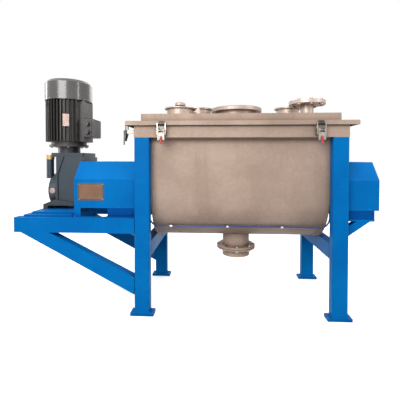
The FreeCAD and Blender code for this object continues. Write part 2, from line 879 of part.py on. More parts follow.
def make_lid():
    """A folded lid pan with a raised box, and the port tubes welded on it."""
    lid = Piece("lid_panel")
    out = (S.lid_long / 2, S.lid_deep / 2)
    sheet_edge = S.lid_sheet
    lid.prism("XY", rim_top, lid_top, block(-out[0], -out[1], out[0], out[1]))
    lid.hollow(
        "XY", rim_top, lid_top - sheet_edge,
        block(sheet_edge - out[0], sheet_edge - out[1], out[0] - sheet_edge, out[1] - sheet_edge),
    )
    box = (S.box_long / 2, S.box_deep / 2)
    inner = (box[0] - S.box_sheet, box[1] - S.box_sheet)
    lid.prism("XY", lid_top, box_top, round_block(-box[0], -box[1], box[0], box[1], S.tube_corner))
    lid.hollow(
        "XY", lid_top - sheet_edge, box_top - S.box_sheet,
        block(-inner[0], -inner[1], inner[0], inner[1]),
    )
    wall = S.port_wall
    lid.hollow(
        "XY", box_top - S.box_sheet, box_top,
        *[Ring(x, y, radius - wall) for x, y, radius, tall in PORTS.values()],
        Ring(0, 0, S.manway_radius - wall),
        Ring(S.nozzle_x, S.nozzle_y, S.nozzle_radius - wall),
    )

    tubes = Piece("port_tubes")
    for x, y, radius, tall in PORTS.values():
        tubes.prism("XY", box_top, box_top + tall, Ring(x, y, radius), Ring(x, y, radius - wall))

    neck = Piece("manway_neck", 0, 0, box_top, own_node=False)
    flange_top = S.manway_tall + S.manway_flange
    neck.turned("V_Axis", Outline(
        (S.manway_radius - wall, 0),
        (S.manway_radius, 0),
        (S.manway_radius, S.manway_tall),
        (S.manway_flange_radius, S.manway_tall),
        (S.manway_flange_radius, flange_top),
        (S.manway_radius - wall, flange_top),
    ))
    cover = Piece("manway_cover", 0, 0, box_top + flange_top)
    edge = S.manway_cover / 4
    cover.turned("V_Axis", Outline(
        (0, 0),
        (S.manway_flange_radius, 0),
        (S.manway_flange_radius, S.manway_cover - edge),
        (S.manway_flange_radius - edge, S.manway_cover),
        (0, S.manway_cover),
    ))

    nozzle = Piece("vent_nozzle", S.nozzle_x, S.nozzle_y, box_top, own_node=False)
    nozzle_top = S.nozzle_tall + S.nozzle_flange
    nozzle.turned("V_Axis", Outline(
        (S.nozzle_radius - wall, 0),
        (S.nozzle_radius, 0),
        (S.nozzle_radius, S.nozzle_tall),
        (S.nozzle_flange_radius, S.nozzle_tall),
        (S.nozzle_flange_radius, nozzle_top),
        (S.nozzle_radius - wall, nozzle_top),
    ))
    circle = S.nozzle_bolt_circle / 2
    nozzle.repeat_round("Z", S.bolt_count, nozzle.hollow(
        "XY", S.nozzle_tall, nozzle_top, Ring(circle, 0, S.bolt_radius)
    ))
    group("flanged_necks", [neck, nozzle])
    blind = Piece("vent_blind", S.nozzle_x, S.nozzle_y, box_top + nozzle_top)
    blind.prism("XY", 0, S.nozzle_flange, Ring(0, 0, S.nozzle_flange_radius))
    blind.repeat_round("Z", S.bolt_count, blind.hollow(
        "XY", 0, S.nozzle_flange, Ring(circle, 0, S.bolt_radius)
    ))
    bolts = Piece("vent_bolts", S.nozzle_x, S.nozzle_y, box_top)
    grip = S.nozzle_tall
    top = nozzle_top + S.nozzle_flange
    shank = bolts.prism("XY", grip, top, Ring(circle, 0, S.bolt_radius))
    head = bolts.prism("XY", top, top + S.bolt_head_tall, Ring(circle, 0, S.bolt_head_radius))
    nut = bolts.prism("XY", grip - S.bolt_head_tall, grip, Ring(circle, 0, S.bolt_head_radius))
    bolts.repeat_round("Z", S.bolt_count, shank, head, nut)

    caps = Piece("rear_port_caps")
    for name in ("rear_right", "rear_left"):
        x, y, radius, tall = PORTS[name]
        top = box_top + tall
        caps.prism("XY", top, top + S.cap_thick, Ring(x, y, radius + S.cap_over))


def make_feed_cover():
    """The feed port's round lid with its knob, and the hinge it swings on."""
    pin_up = S.feed_tall + S.feed_lid_thick + S.feed_pin_radius - 1
    cover = Piece("feed_disc", S.feed_x, S.feed_y, box_top, own_node=False)
    low = S.feed_tall
    high = low + S.feed_lid_thick
    cover.prism("XY", low, high, Ring(0, 0, S.feed_lid_radius))
    strap_half = S.feed_pin_radius * 3
    barrel = S.feed_pin_radius * 2
    cover.prism("XY", high, high + 4, block(S.knob_radius, -strap_half, S.hinge_reach, strap_half))
    cover.prism("XZ", -strap_half, strap_half, Ring(S.hinge_reach, pin_up, barrel))
    cover.hollow("XZ", -strap_half, strap_half,
                 Ring(S.hinge_reach, pin_up, S.feed_pin_radius + S.run_gap))
    knob = Piece("feed_knob", S.feed_x, S.feed_y, box_top + high, own_node=False)
    stem = S.knob_stem_radius
    edge = S.knob_tall / 4
    top = S.knob_stem + S.knob_tall
    knob.turned("V_Axis", Outline(
        (0, 0),
        (stem, 0),
        (stem, S.knob_stem),
        (S.knob_radius - edge, S.knob_stem),
        (S.knob_radius, S.knob_stem + edge),
        (S.knob_radius, top - edge),
        (S.knob_radius - edge, top),
        (0, top),
    ))
    group("feed_cover", [cover, knob])
    bracket = Piece("feed_hinge", S.feed_x, S.feed_y, box_top)
    reach = S.hinge_reach
    cheek = 4
    gap = 0.5
    inner = strap_half + gap
    for low_y in (-inner - cheek, inner):
        bracket.prism("XZ", low_y, low_y + cheek, Outline(
            (reach - barrel, 0),
            (reach + 2 * barrel, 0),
            (reach + barrel, pin_up, Bend(up=pin_up)),
            (reach - barrel, pin_up),
        ))
    bracket.prism("XZ", -inner - cheek, inner + cheek, Ring(reach, pin_up, S.feed_pin_radius))


# --------------------------------------------------------------------------------------- latches
def make_latch(name, across, depth, turn, stand):
    """One toggle latch: base with ears, keeper, lever with grip, and wire bail.

    It is drawn from the lever's pin with the machine on the +Y side; stand is from the pin to the rim.
    """
    place = (across, depth, S.latch_pin_z, turn)
    pin = S.latch_pin_radius
    base = Piece(f"latch_base_{name}", *place, own_node=False)
    half = S.latch_plate_half
    base.prism("XZ", stand - S.latch_plate, stand, block(
        -half, -S.latch_plate_low, half, S.latch_plate_high
    ))
    for low, high in ((-S.ear_outer, -S.ear_inner), (S.ear_inner, S.ear_outer)):
        base.prism("YZ", low, high, Outline(
            (0, S.ear_radius, Bend(across=0)),
            (0, -S.ear_radius),
            (stand - S.latch_plate, -S.ear_radius),
            (stand - S.latch_plate, S.ear_radius),
        ))
    base.prism("YZ", -S.lever_outer, S.lever_outer, Ring(0, 0, pin))

    keeper = Piece(f"latch_keeper_{name}", *place, own_node=False)
    face = S.latch_pin_off
    hook_top = S.bail_bar_z - S.bail_rod - S.bail_gap
    hook = S.keeper_hook
    lip_low = rim_top - S.latch_pin_z
    far = face - S.keeper_reach
    keeper.prism("YZ", -S.keeper_half, S.keeper_half, Outline(
        (face, lip_low),
        (face, lip_low + S.lid_lip - S.keeper_plate),
        (face - S.keeper_plate, lip_low + S.lid_lip - S.keeper_plate),
        (face - S.keeper_plate, hook_top),
        (far + hook, hook_top),
        (far + hook, hook_top + S.keeper_up - hook),
        (far, hook_top + S.keeper_up - hook),
        (far, hook_top - hook),
        (face - S.keeper_plate, hook_top - hook),
        (face - S.keeper_plate, lip_low),
    ))

    lever = Piece(f"latch_lever_{name}", *place)
    front = S.lever_front
    back = S.bail_pin_y + 2 * S.bail_rod
    cheek = Outline(
        (back, 0),
        (-front, 0),
        (-front, -S.lever_long),
        (back, -S.lever_long),
    )
    eye = Outline((back, 0), (back, back), (-front, back), (-front, 0))
    for low, high in ((-S.lever_outer, -S.lever_inner), (S.lever_inner, S.lever_outer)):
        lever.prism("YZ", low, high, cheek)
        lever.prism("YZ", low, high, eye)
    clear = S.ear_radius + 4
    lever.prism(
        "XY", -S.lever_long, -clear, block(-S.lever_inner, -front, S.lever_inner, 3 - front)
    )
    grip = S.grip_half
    low = -S.lever_long - S.grip_over
    lever.prism("XY", low, low + S.grip_long, round_block(-grip, -front - 7, grip, -front, 3))
    lever.hollow("YZ", -S.lever_outer, S.lever_outer, Ring(0, 0, pin + S.run_gap))
    lever.hollow(
        "YZ", -S.lever_outer, S.lever_outer,
        Ring(S.bail_pin_y, -S.bail_pin_z, S.bail_rod + S.run_gap),
    )

    bail = Piece(f"latch_bail_{name}", *place)
    rod = S.bail_rod
    lean = S.bail_bar_y - S.bail_pin_y
    rise = S.bail_bar_z + S.bail_pin_z
    slant = root(lean * lean + rise * rise)
    side = rod * rise / slant
    drop = rod * lean / slant
    for middle in (-S.bail_half, S.bail_half):
        bail.prism("YZ", middle - rod, middle + rod, Outline(
            (S.bail_pin_y - side, -S.bail_pin_z + drop, Bend(up=-S.bail_pin_z)),
            (S.bail_pin_y + side, -S.bail_pin_z - drop),
            (S.bail_bar_y + side, S.bail_bar_z - drop, Bend(up=S.bail_bar_z)),
            (S.bail_bar_y - side, S.bail_bar_z + drop),
        ))
    bail.prism("YZ", -S.bail_half, S.bail_half, Ring(S.bail_bar_y, S.bail_bar_z, rod))
    stub = S.ear_outer + 0.5
    for low, high in ((-S.bail_half, -stub), (stub, S.bail_half)):
        bail.prism("YZ", low, high, Ring(S.bail_pin_y, -S.bail_pin_z, rod))
    return base, keeper


def make_latches():
    """Two latches on the front of the rim and one on its drive end."""
    lip_y = S.lid_deep / 2
    lip_x = S.lid_long / 2
    off = S.latch_pin_off
    stand_front = lip_y + off - leg_out_y
    stand_end = lip_x + off - S.rim_long / 2
    sets = [
        make_latch("front_left", -S.latch_x, -lip_y - off, FACING_FRONT, stand_front),
        make_latch("front_right", S.latch_x, -lip_y - off, FACING_FRONT, stand_front),
        make_latch("end", -lip_x - off, S.latch_end_y, FACING_LEFT, stand_end),
    ]
    group("latch_bases", [base for base, keeper in sets])
    group("latch_keepers", [keeper for base, keeper in sets])


def make_lid_hinges():
    """Three hinges along the rear of the lid: rim leaves, lid leaves and pins."""
    pin_y = leg_out_y + S.lid_pin_off
    lip_y = S.lid_deep / 2
    half = S.knuckle_long / 2
    gap = 0.3
    places = (-S.lid_hinge_x, size_of(0), S.lid_hinge_x)
    rim_leaves = Piece("rim_leaves", 0, 0, S.lid_pin_z, own_node=False)
    lid_leaves = Piece("hinge_lid_leaves", 0, 0, S.lid_pin_z)
    pins = Piece("lid_pins", 0, 0, S.lid_pin_z, own_node=False)
    low = rim_top - S.lid_pin_z - S.leaf_tall
    knuckle = S.knuckle_radius
    bore = S.lid_pin_radius
    for x in places:
        for start in (x - 3 * half, x + half + gap):
            rim_leaves.prism("YZ", start, start + 2 * half - gap, Outline(
                (leg_out_y, low),
                (leg_out_y + S.leaf_thick, low),
                (pin_y + knuckle, 0, Bend(up=0)),
                (pin_y - knuckle, 0),
                (leg_out_y, low + S.leaf_tall / 2),
            ), Ring(pin_y, 0, bore))
        rim_leaves.prism("YZ", x - 3 * half, x + 3 * half,
                         block(leg_out_y, low, leg_out_y + S.leaf_thick, low + S.leaf_tall / 2))
        lid_leaves.prism("YZ", x - half, x + half, Outline(
            (lip_y, lid_top - S.lid_pin_z),
            (lip_y, rim_top - S.lid_pin_z),
            (pin_y, -knuckle, Bend(across=pin_y)),
            (pin_y, knuckle),
        ), Ring(pin_y, 0, bore + S.run_gap))
        pins.prism("YZ", x - 3 * half - 2, x + 3 * half + 2, Ring(pin_y, 0, bore))
    group("hinge_rim_leaves", [rim_leaves, pins])


# ---------------------------------------------------------------------------------------- outlet
def make_outlet():
    """The outlet pipe with its flange, the gasket, the loose spigot flange and their bolts."""
    top = S.outlet_flange_top
    flange_low = top - S.outlet_flange
    wall = S.outlet_wall
    pipe = Piece("outlet_pipe")
    inner = S.outlet_radius - wall
    pipe.prism("XY", flange_low, S.axis_z - S.shell_radius * 0.9, Ring(0, 0, S.outlet_radius),
               Ring(0, 0, inner))
    pipe.hollow("YZ", -S.outlet_radius, S.outlet_radius, Ring(0, S.axis_z, S.shell_radius))
    pipe.prism("XY", flange_low, top, Ring(0, 0, S.outlet_flange_radius), Ring(0, 0, inner))
    circle = S.outlet_bolt_circle / 2
    hole = pipe.hollow("XY", flange_low, top, Ring(circle, 0, S.bolt_radius))
    pipe.repeat_round("Z", S.bolt_count, hole)

    gasket_low = flange_low - S.outlet_gasket
    gasket = Piece("outlet_gasket")
    gasket.prism("XY", gasket_low, flange_low, Ring(0, 0, circle - S.bolt_radius), Ring(0, 0, inner))

    ring_low = gasket_low - S.spigot_flange
    spigot = Piece("outlet_spigot")
    bore = S.spigot_radius - S.spigot_wall
    spigot.prism("XY", ring_low, gasket_low, Ring(0, 0, S.outlet_flange_radius), Ring(0, 0, bore))
    spigot.prism("XY", S.spigot_low, ring_low, Ring(0, 0, S.spigot_radius), Ring(0, 0, bore))
    hole = spigot.hollow("XY", ring_low, gasket_low, Ring(circle, 0, S.bolt_radius))
    spigot.repeat_round("Z", S.bolt_count, hole)

    bolts = Piece("outlet_bolts", own_node=False)
    head = S.bolt_head_tall
    shank = bolts.prism("XY", ring_low, top, Ring(circle, 0, S.bolt_radius))
    upper = bolts.prism("XY", top, top + head, Ring(circle, 0, S.bolt_head_radius))
    lower = bolts.prism("XY", ring_low - head, ring_low, Ring(circle, 0, S.bolt_head_radius))
    bolts.repeat_round("Z", S.bolt_count, shank, upper, lower)
    return bolts


# -------------------------------------------------------------------------------------- agitator
ribbon_reach = half_trough - S.end_gap - S.ribbon_thick
quarter_pitch = ribbon_reach / 3
outer_ribbon = S.shell_radius - S.shell_wall - S.sweep_gap


def make_ribbons(name, radius, band, left_handed):
    """Two flat bands, half a turn apart, whose hand changes at the middle of the trough."""
    ribbons = Piece(name, 0, 0, S.axis_z)
    half = S.ribbon_thick / 2
    halves = []
    for mirrored in (False, True):
        section = ribbons.sketch("XZ", 0, [block(-half, radius - band, half, radius)])
        helix = ribbons.feature("AdditiveHelix", section)
        helix.ReferenceAxis = (section, ["H_Axis"])
        helix.Mode = 0
        bind(helix, "Pitch", 4 * quarter_pitch)
        bind(helix, "Height", ribbon_reach)
        helix.LeftHanded = left_handed != mirrored
        helix.Reversed = mirrored
        halves.append(helix)
    ribbons.repeat_round("X", size_of(2), *halves)


def make_agitator():
    """The shaft, the outer and inner ribbons of opposite hand and the arms that carry both."""
    make_ribbons("outer_ribbons", outer_ribbon, S.outer_band, False)
    make_ribbons("inner_ribbons", S.inner_ribbon_radius, S.inner_band, True)

    arms = Piece("ribbon_arms", 0, 0, S.axis_z)
    tip = outer_ribbon - S.outer_band
    reach = tip + S.arm_wide
    upright = []
    level = []
    for station in range(-3, 4):
        bar = middle_block(station * quarter_pitch, size_of(0), S.arm_thick, S.arm_wide)
        (level if station % 2 else upright).append(bar)
    arms.prism("XY", -reach, reach, *upright)
    arms.prism("XZ", -reach, reach, *level)
    far = half_trough
    arms.grooved(
        "H_Axis",
        block(-far, 0, far, S.shaft_radius),
        block(-far, S.inner_ribbon_radius - S.inner_band, far, S.inner_ribbon_radius),
        block(-far, tip, far, reach + S.arm_wide),
    )

    shaft = Piece("main_shaft", 0, 0, S.axis_z)
    half_bearing = S.bearing_wide / 2 + S.bearing_boss
    left_shoulder = S.bearing_left_x + half_bearing + 6
    left_step = S.bearing_left_x - half_bearing - 6
    right_shoulder = S.bearing_right_x - half_bearing - 6
    right_end = S.bearing_right_x + half_bearing + 10
    left_end = S.coupling_x + S.coupling_gap / 2
    shaft.turned("H_Axis", Outline(
        (left_end, 0),
        (left_end, S.coupling_end_radius),
        (left_step, S.coupling_end_radius),
        (left_step, S.journal_radius),
        (left_shoulder, S.journal_radius),
        (left_shoulder, S.shaft_radius),
        (right_shoulder, S.shaft_radius),
        (right_shoulder, S.journal_radius),
        (right_end, S.journal_radius),
        (right_end, 0),
    ))


def make_seals():
    """A packed gland round the shaft outside each end plate."""
    seals = Piece("glands", 0, 0, S.axis_z, own_node=False)
    bore = S.shaft_radius + S.run_gap
    for along in ENDS.values():
        face = along * end_out_x
        flange = face + along * S.gland_flange
        body = flange + along * S.gland_long
        follower = body + along * S.follower_long
        seals.turned("H_Axis", Outline(
            (face, bore),
            (face, S.gland_flange_radius),
            (flange, S.gland_flange_radius),
            (flange, S.gland_radius),
            (body, S.gland_radius),
            (body, S.follower_radius),
            (follower, S.follower_radius),
            (follower, bore),
        ))
    return seals


def make_bearings():
    """Pillow block bearings on their pedestals, and the bolts that hold them."""
    half_foot = S.bearing_foot_deep / 2
    ring = S.bearing_ring_radius
    half = S.bearing_wide / 2
    centre = S.bearing_centre
    foot_top = S.bearing_foot_tall - centre
    pair = []
    for end, across in (("left", S.bearing_left_x), ("right", S.bearing_right_x)):
        bearing = Piece(f"bearing_{end}", across, 0, S.axis_z, own_node=False)
        pair.append(bearing)
        bearing.prism("YZ", -half, half, Outline(
            (-half_foot, -centre),
            (half_foot, -centre),
            (half_foot, foot_top),
            (ring, foot_top),
            (ring, 0, Bend(up=0)),
            (-ring, 0),
            (-ring, foot_top),
            (-half_foot, foot_top),
        ))
        boss = half + S.bearing_boss
        bearing.prism("YZ", -boss, boss, Ring(0, 0, S.bearing_boss_radius))
        bearing.hollow("YZ", -boss, boss, Ring(0, 0, S.journal_radius + S.run_gap))
        bearing.hollow("XY", -centre, foot_top, *[
            Ring(0, side * S.bearing_bolt_span / 2, S.bearing_bolt_radius) for side in (-1, 1)
        ])
    group("shaft_bearings", pair)
    bolts = Piece("bearing_bolts", 0, 0, S.axis_z, own_node=False)
    spots = [
        (x, side * S.bearing_bolt_span / 2)
        for x in (S.bearing_left_x, S.bearing_right_x) for side in (-1, 1)
    ]
    bolts.prism("XY", -centre, foot_top, *[Ring(x, y, S.bearing_bolt_radius) for x, y in spots])
    bolts.prism("XY", foot_top, foot_top + 2 * S.bolt_head_tall, *[
        Ring(x, y, S.bearing_bolt_radius * 1.6) for x, y in spots
    ])
    return bolts


def make_coupling():
    """A jaw coupling: two hubs with three jaws each and the six-legged spider between them."""
    gap = S.coupling_gap / 2
    outer = S.coupling_radius
    hubs = Piece("coupling_hubs", S.coupling_x, 0, S.axis_z)
    for along, bore in ((-1, S.output_radius), (1, S.coupling_end_radius)):
        face = along * gap
        disc = face + along * S.coupling_disc
        end = disc + along * S.coupling_hub
        hubs.turned("H_Axis", Outline(
            (face, bore),
            (face, outer),
            (disc, outer),
            (disc, S.coupling_hub_radius),
            (end, S.coupling_hub_radius),
            (end, bore),
        ))
    inner = S.jaw_inner_radius
    side = outer * sine(S.jaw_half_angle)
    up = outer * cosine(S.jaw_half_angle)
    side_in = inner * sine(S.jaw_half_angle)
    up_in = inner * cosine(S.jaw_half_angle)
    tip = S.jaw_long - gap
    left_jaw = hubs.prism("YZ", -gap, tip, Outline(
        (-side, up), (-side_in, up_in), (side_in, up_in), (side, up, Bend(up=0)),
    ))
    right_jaw = hubs.prism("YZ", -tip, gap, Outline(
        (-side, -up, Bend(up=0)), (side, -up), (side_in, -up_in), (-side_in, -up_in),
    ))
    hubs.repeat_round("X", size_of(3), left_jaw, right_jaw)

    spider = Piece("coupling_spider", S.coupling_x, 0, S.axis_z)
    slack = S.spider_slack
    half = gap - (S.coupling_gap - S.jaw_long)
    spider.prism("YZ", -half, half, Ring(0, 0, up_in - slack))
    leg_angle = 30 - S.jaw_half_angle - 1
    near = inner * 0.9
    far = outer - 2
    leg = spider.prism("YZ", -half, half, Outline(
        (near * cosine(leg_angle), -near * sine(leg_angle)),
        (far * cosine(leg_angle), -far * sine(leg_angle), Bend(across=0)),
        (far * cosine(leg_angle), far * sine(leg_angle)),
        (near * cosine(leg_angle), near * sine(leg_angle)),
    ))
    spider.repeat_round("X", size_of(6), leg)


# --------------------------------------------------------------------------------- gearbox, motor
def make_gearbox():
    """The cast gearbox with its flared foot, the round end cover, the oil tank and the breather."""
    base = S.gear_base_z
    top = S.gear_top_z
    axis = S.axis_z
    left = -S.gear_left
    right = S.gear_right
    deep = S.gear_deep / 2
    foot = S.gear_foot_tall
    housing = Piece("gearbox_housing", S.gear_x)
    housing.prism("XZ", -deep, deep, block(left, base + foot, right, top))
    foot_deep = S.gear_foot_deep / 2
    housing.prism("XZ", -foot_deep, foot_deep, Outline(
        (-S.gear_foot_left, base),
        (right, base),
        (right, base + foot),
        (left, base + 2 * foot),
        (-S.gear_foot_left, base + foot),
    ))
    housing.prism("YZ", left - S.gear_drum_long, left, Ring(0, axis, S.gear_drum_radius))
    arch = S.gear_arch_tall
    housing.hollow("XZ", -foot_deep, foot_deep, block(
        -S.gear_foot_left + foot, base, right - foot, base + arch
    ))
    housing.prism("YZ", right, right + S.gear_boss_long, Ring(0, axis, S.gear_boss_radius))
    rib = S.gear_rib
    waist = S.gear_left / 2
    for low, high in ((-deep - rib, -deep), (deep, deep + rib)):
        housing.prism("XZ", low, high, Outline(
            (left, base + foot),
            (left + waist, base + foot),
            (left + waist, axis + S.gear_drum_radius),
            (left + 4 * waist, top),
            (left + 3 * waist, top),
            (left, axis + S.gear_drum_radius),
        ))
    bore = S.output_radius + S.run_gap
    start = S.coupling_x - S.gear_x - S.coupling_gap / 2 - S.output_long
    housing.hollow("YZ", start, right + S.gear_boss_long, Ring(0, axis, bore))

    cover = Piece("gearbox_end_cover", S.gear_x, 0, axis)
    end = left - S.gear_drum_long
    out = end - S.gear_cover_long
    radius = S.gear_cover_radius
    cover.turned("H_Axis", Outline(
        (end, 0),
        (end, radius),
        (out + radius / 4, radius),
        (out, radius * 0.8),
        (out, 0),
    ))
    fittings = Piece("gearbox_breather", S.gear_x)
    fittings.prism("XY", S.tank_high, S.tank_high + S.breather_tall,
                   Ring(S.tank_x, S.tank_y, S.breather_radius))
    housing.prism("XY", S.tank_low, S.tank_high, Ring(S.tank_x, S.tank_y, S.tank_radius))

    output = Piece("gearbox_output", 0, 0, axis)
    finish = S.coupling_x - S.coupling_gap / 2
    output.turned("H_Axis", block(finish - S.output_long, 0, finish, S.output_radius))


def make_motor():
    """The upright motor: adapter, finned body, fan under its cowl, shaft and terminal box."""
    adapter = Piece("motor_adapter", S.gear_x)
    top = S.gear_top_z
    half = S.adapter_half
    plate_top = top + S.adapter_plate
    bore = S.motor_shaft_radius + S.run_gap
    adapter.prism("XY", top, plate_top, round_block(
        -S.adapter_left, -half, S.gear_right, half, S.tube_corner
    ))
    adapter.prism("XY", plate_top, S.motor_flange_z, Ring(0, 0, S.neck_radius))
    adapter.hollow("XY", top, S.motor_flange_z, Ring(0, 0, bore))

    body = Piece("motor_body", S.gear_x)
    low = S.motor_flange_z
    body_low = S.motor_body_z
    body_top = body_low + S.motor_body_tall
    core = S.motor_core_radius
    bell = S.cowl_radius - S.cowl_sheet - 0.5
    body.turned("V_Axis", Outline(
        (bore, low),
        (S.motor_flange_radius, low),
        (S.motor_flange_radius, low + S.motor_flange),
        (core - S.motor_flange, low + S.motor_flange),
        (core - S.motor_flange, body_low),
        (core, body_low),
        (core, body_top),
        (bell, body_top),
        (bell, body_top + S.cowl_lap),
        (bore, body_top + S.cowl_lap),
    ))
    flat = S.motor_flat_half
    body.prism("XY", body_low, body_top, block(core / 2, -flat, S.motor_flat_reach, flat))
    first = (360 - S.fin_sweep) / 2
    thick = S.fin_thick / 2
    near = core * 0.97
    fin = body.prism("XY", body_low, body_top, Outline(
        (near * cosine(first) + thick * sine(first), near * sine(first) - thick * cosine(first)),
        (S.fin_radius * cosine(first) + thick * sine(first),
         S.fin_radius * sine(first) - thick * cosine(first)),
        (S.fin_radius * cosine(first) - thick * sine(first),
         S.fin_radius * sine(first) + thick * cosine(first)),
        (near * cosine(first) - thick * sine(first), near * sine(first) + thick * cosine(first)),
    ))
    body.repeat_round("Z", S.fin_count, fin, angle=S.fin_sweep)

    cowl = Piece("fan_cowl", S.gear_x)
    radius = S.cowl_radius
    inner = radius - S.cowl_sheet
    cowl_top = body_top + S.cowl_tall
    crown = S.cowl_crown
    cowl.turned("V_Axis", Outline(
        (radius, body_top),
        (radius, cowl_top - crown),
        (radius - crown, cowl_top),
        (0, cowl_top),
        (0, cowl_top - S.cowl_sheet),
        (inner - crown, cowl_top - S.cowl_sheet),
        (inner, cowl_top - crown),
        (inner, body_top),
    ))
    slot = cowl.hollow("XY", cowl_top - S.cowl_sheet, cowl_top, block(
        radius / 4, -S.cowl_slot / 2, radius - crown - S.cowl_slot, S.cowl_slot / 2
    ))
    cowl.repeat_round("Z", S.cowl_slots, slot)

    shaft_low = top + S.adapter_plate / 3
    fan_low = body_top + S.cowl_lap + S.fan_tall / 3
    shaft = Piece("motor_shaft", S.gear_x)
    shaft.prism("XY", shaft_low, fan_low + S.fan_tall, Ring(0, 0, S.motor_shaft_radius))
    fan = Piece("motor_fan", S.gear_x)
    hub = S.motor_shaft_radius * 2
    fan.prism("XY", fan_low, fan_low + S.fan_tall, Ring(0, 0, hub), Ring(0, 0, S.motor_shaft_radius))
    blade = fan.prism("XY", fan_low, fan_low + S.fan_tall, block(
        hub * 0.97, -S.cowl_sheet, S.fan_radius, S.cowl_sheet
    ))
    fan.repeat_round("Z", S.fan_blades, blade)

    box = Piece("terminal_box", S.gear_x)
    near = S.motor_flat_reach
    box_near = S.box_near
    reach = S.box_reach - S.box_cover
    throat = S.box_cover * 2
    box.prism("YZ", near, box_near, block(
        throat - S.box_front, S.box_low + throat, S.box_rear - throat, S.box_high - throat
    ))
    box.prism("YZ", box_near, reach, round_block(
        -S.box_front, S.box_low, S.box_rear, S.box_high, S.tube_corner
    ))
    inset = S.box_cover / 3
    box.prism("YZ", reach, S.box_reach, round_block(
        inset - S.box_front, S.box_low + inset, S.box_rear - inset, S.box_high - inset, S.tube_corner
    ))
    gland_x = (box_near + reach) / 2
    spread = S.cable_gland_radius * 2.2
    middle = (S.box_low + S.box_high) / 2
    box.prism("XZ", -S.box_front - S.cable_gland_long, -S.box_front, *[
        Ring(gland_x, middle + side * spread / 1.2, S.cable_gland_radius) for side in (-1, 1)
    ])


# -------------------------------------------------------------------------------------- air hose
def smooth_path(points, share=0.45):
    """Return a wire of straight runs joined by tangent arcs, and print each arc's radius.

    Each arc takes the share of the shorter run beside its point.
    """
    edges = []
    start = points[0]
    radii = []
    for before, here, after in zip(points, points[1:], points[2:]):
        back = (before - here).normalize()
        ahead = (after - here).normalize()
        turn = math.pi - back.getAngle(ahead)
        trim = share * min((before - here).Length, (after - here).Length)
        radius = trim / math.tan(turn / 2)
        radii.append(radius)
        entry = here + back * trim
        leave = here + ahead * trim
        inward = (back + ahead).normalize()
        centre = here + inward * math.hypot(radius, trim)
        halfway = centre - inward * radius
        edges.append(Part.LineSegment(start, entry).toShape())
        edges.append(Part.Arc(entry, halfway, leave).toShape())
        start = leave
    edges.append(Part.LineSegment(start, points[-1]).toShape())
    print("hose arc radii, mm:", " ".join(f"{radius:.0f}" for radius in radii))
    return Part.Wire(edges)


def make_hose():
    """The air hose between the two seals, its clips on the shell and its end fittings."""
    line = S.hose_line.value
    angle = math.radians(S.hose_angle.value)
    axis = S.axis_z.value
    hose_y = -line * math.cos(angle)
    hose_z = axis - line * math.sin(angle)
    end = end_out_x.value
    port_x = end + S.gland_flange.value + S.gland_long.value / 2
    port_y = -(S.gland_radius.value + S.port_fitting_long.value)
    bow = S.hose_radius.value / 3
    left = [
        Vector(-port_x, port_y, axis),
        Vector(-port_x, port_y - 40, axis),
        Vector(-port_x, port_y - 77, axis - 15),
        Vector(-port_x, port_y - 107, axis - 43),
        Vector(-port_x, port_y - 130, axis - 78),
        Vector(-port_x, port_y - 147, axis - 116),
        Vector(-port_x + 1, port_y - 160, axis - 156),
        Vector(-end - 18, hose_y - 13, hose_z + 35),
        Vector(-end + 8, hose_y - 16, hose_z + 8),
        Vector(-end + 46, hose_y - 10, hose_z - 1),
        Vector(-500, hose_y - 1, hose_z - 1),
    ]
    right = [Vector(-p.x, p.y, p.z) for p in reversed(left)]
    middle = [
        Vector(-430, hose_y, hose_z),
        Vector(-310, hose_y, hose_z - bow),
        Vector(-190, hose_y, hose_z - bow / 2),
        Vector(-70, hose_y, hose_z + bow / 2),
        Vector(55, hose_y, hose_z - bow),
        Vector(180, hose_y, hose_z - bow / 2),
        Vector(300, hose_y, hose_z + bow / 2),
        Vector(410, hose_y, hose_z - bow / 2),
    ]
    points = left + middle + right
    path = smooth_path(points)
    radius = S.hose_radius.value
    ring = Part.Wire(Part.Circle(points[0], points[1] - points[0], radius).toShape())
    tube = path.makePipeShell([ring], True, False)
    wanted = math.pi * radius ** 2 * path.Length
    print(f"hose length {path.Length:.0f} mm, volume {tube.Volume:.0f} of {wanted:.0f} mm3")
    hose = document.addObject("Part::Feature", "air_hose")
    hose.Label = "air_hose"
    hose.Shape = tube
    hose.Placement = FreeCAD.Placement(Vector(S.trough_x.value, 0, 0), FreeCAD.Rotation())
    nodes.append(hose)

    clips = Piece("hose_clips", 0, 0, S.axis_z, FreeCAD.Rotation(Vector(1, 0, 0), S.hose_angle.value - 90))
    outer = S.hose_radius + S.clip_thick
    half = S.clip_long / 2
    for x in (-466, -74, 299):
        clips.prism("YZ", x - half, x + half, Ring(0, -S.hose_line, outer + 1),
                    Ring(0, -S.hose_line, S.hose_radius + 1))
        clips.prism("YZ", x - half, x + half, block(
            outer - 1, -S.hose_line, outer - 1 + S.clip_thick, -S.shell_radius
        ))

    fittings = Piece("hose_fittings", 0, 0, S.axis_z, own_node=False)
    places = [Ring(along * (end_out_x + S.gland_flange + S.gland_long / 2), 0, S.port_fitting_radius)
              for along in ENDS.values()]
    near = S.gland_radius * 0.98
    fittings.prism("XZ", -S.gland_radius - S.port_fitting_long, -near, *places)
    fittings.grooved("H_Axis", block(-end_out_x - 60, 0, end_out_x + 60, S.gland_radius))
    return fittings


make_legs()
make_beams()
make_carriers()
make_guards()
make_trough()
make_lid()
make_feed_cover()
make_latches()
make_lid_hinges()
outlet_bolts = make_outlet()
make_agitator()
seals = make_seals()
bearing_bolts = make_bearings()
group("stand_bolts", [outlet_bolts, bearing_bolts])
make_coupling()
make_gearbox()
make_motor()
fittings = make_hose()
group("shaft_seals", [seals, fittings])
document.recompute()

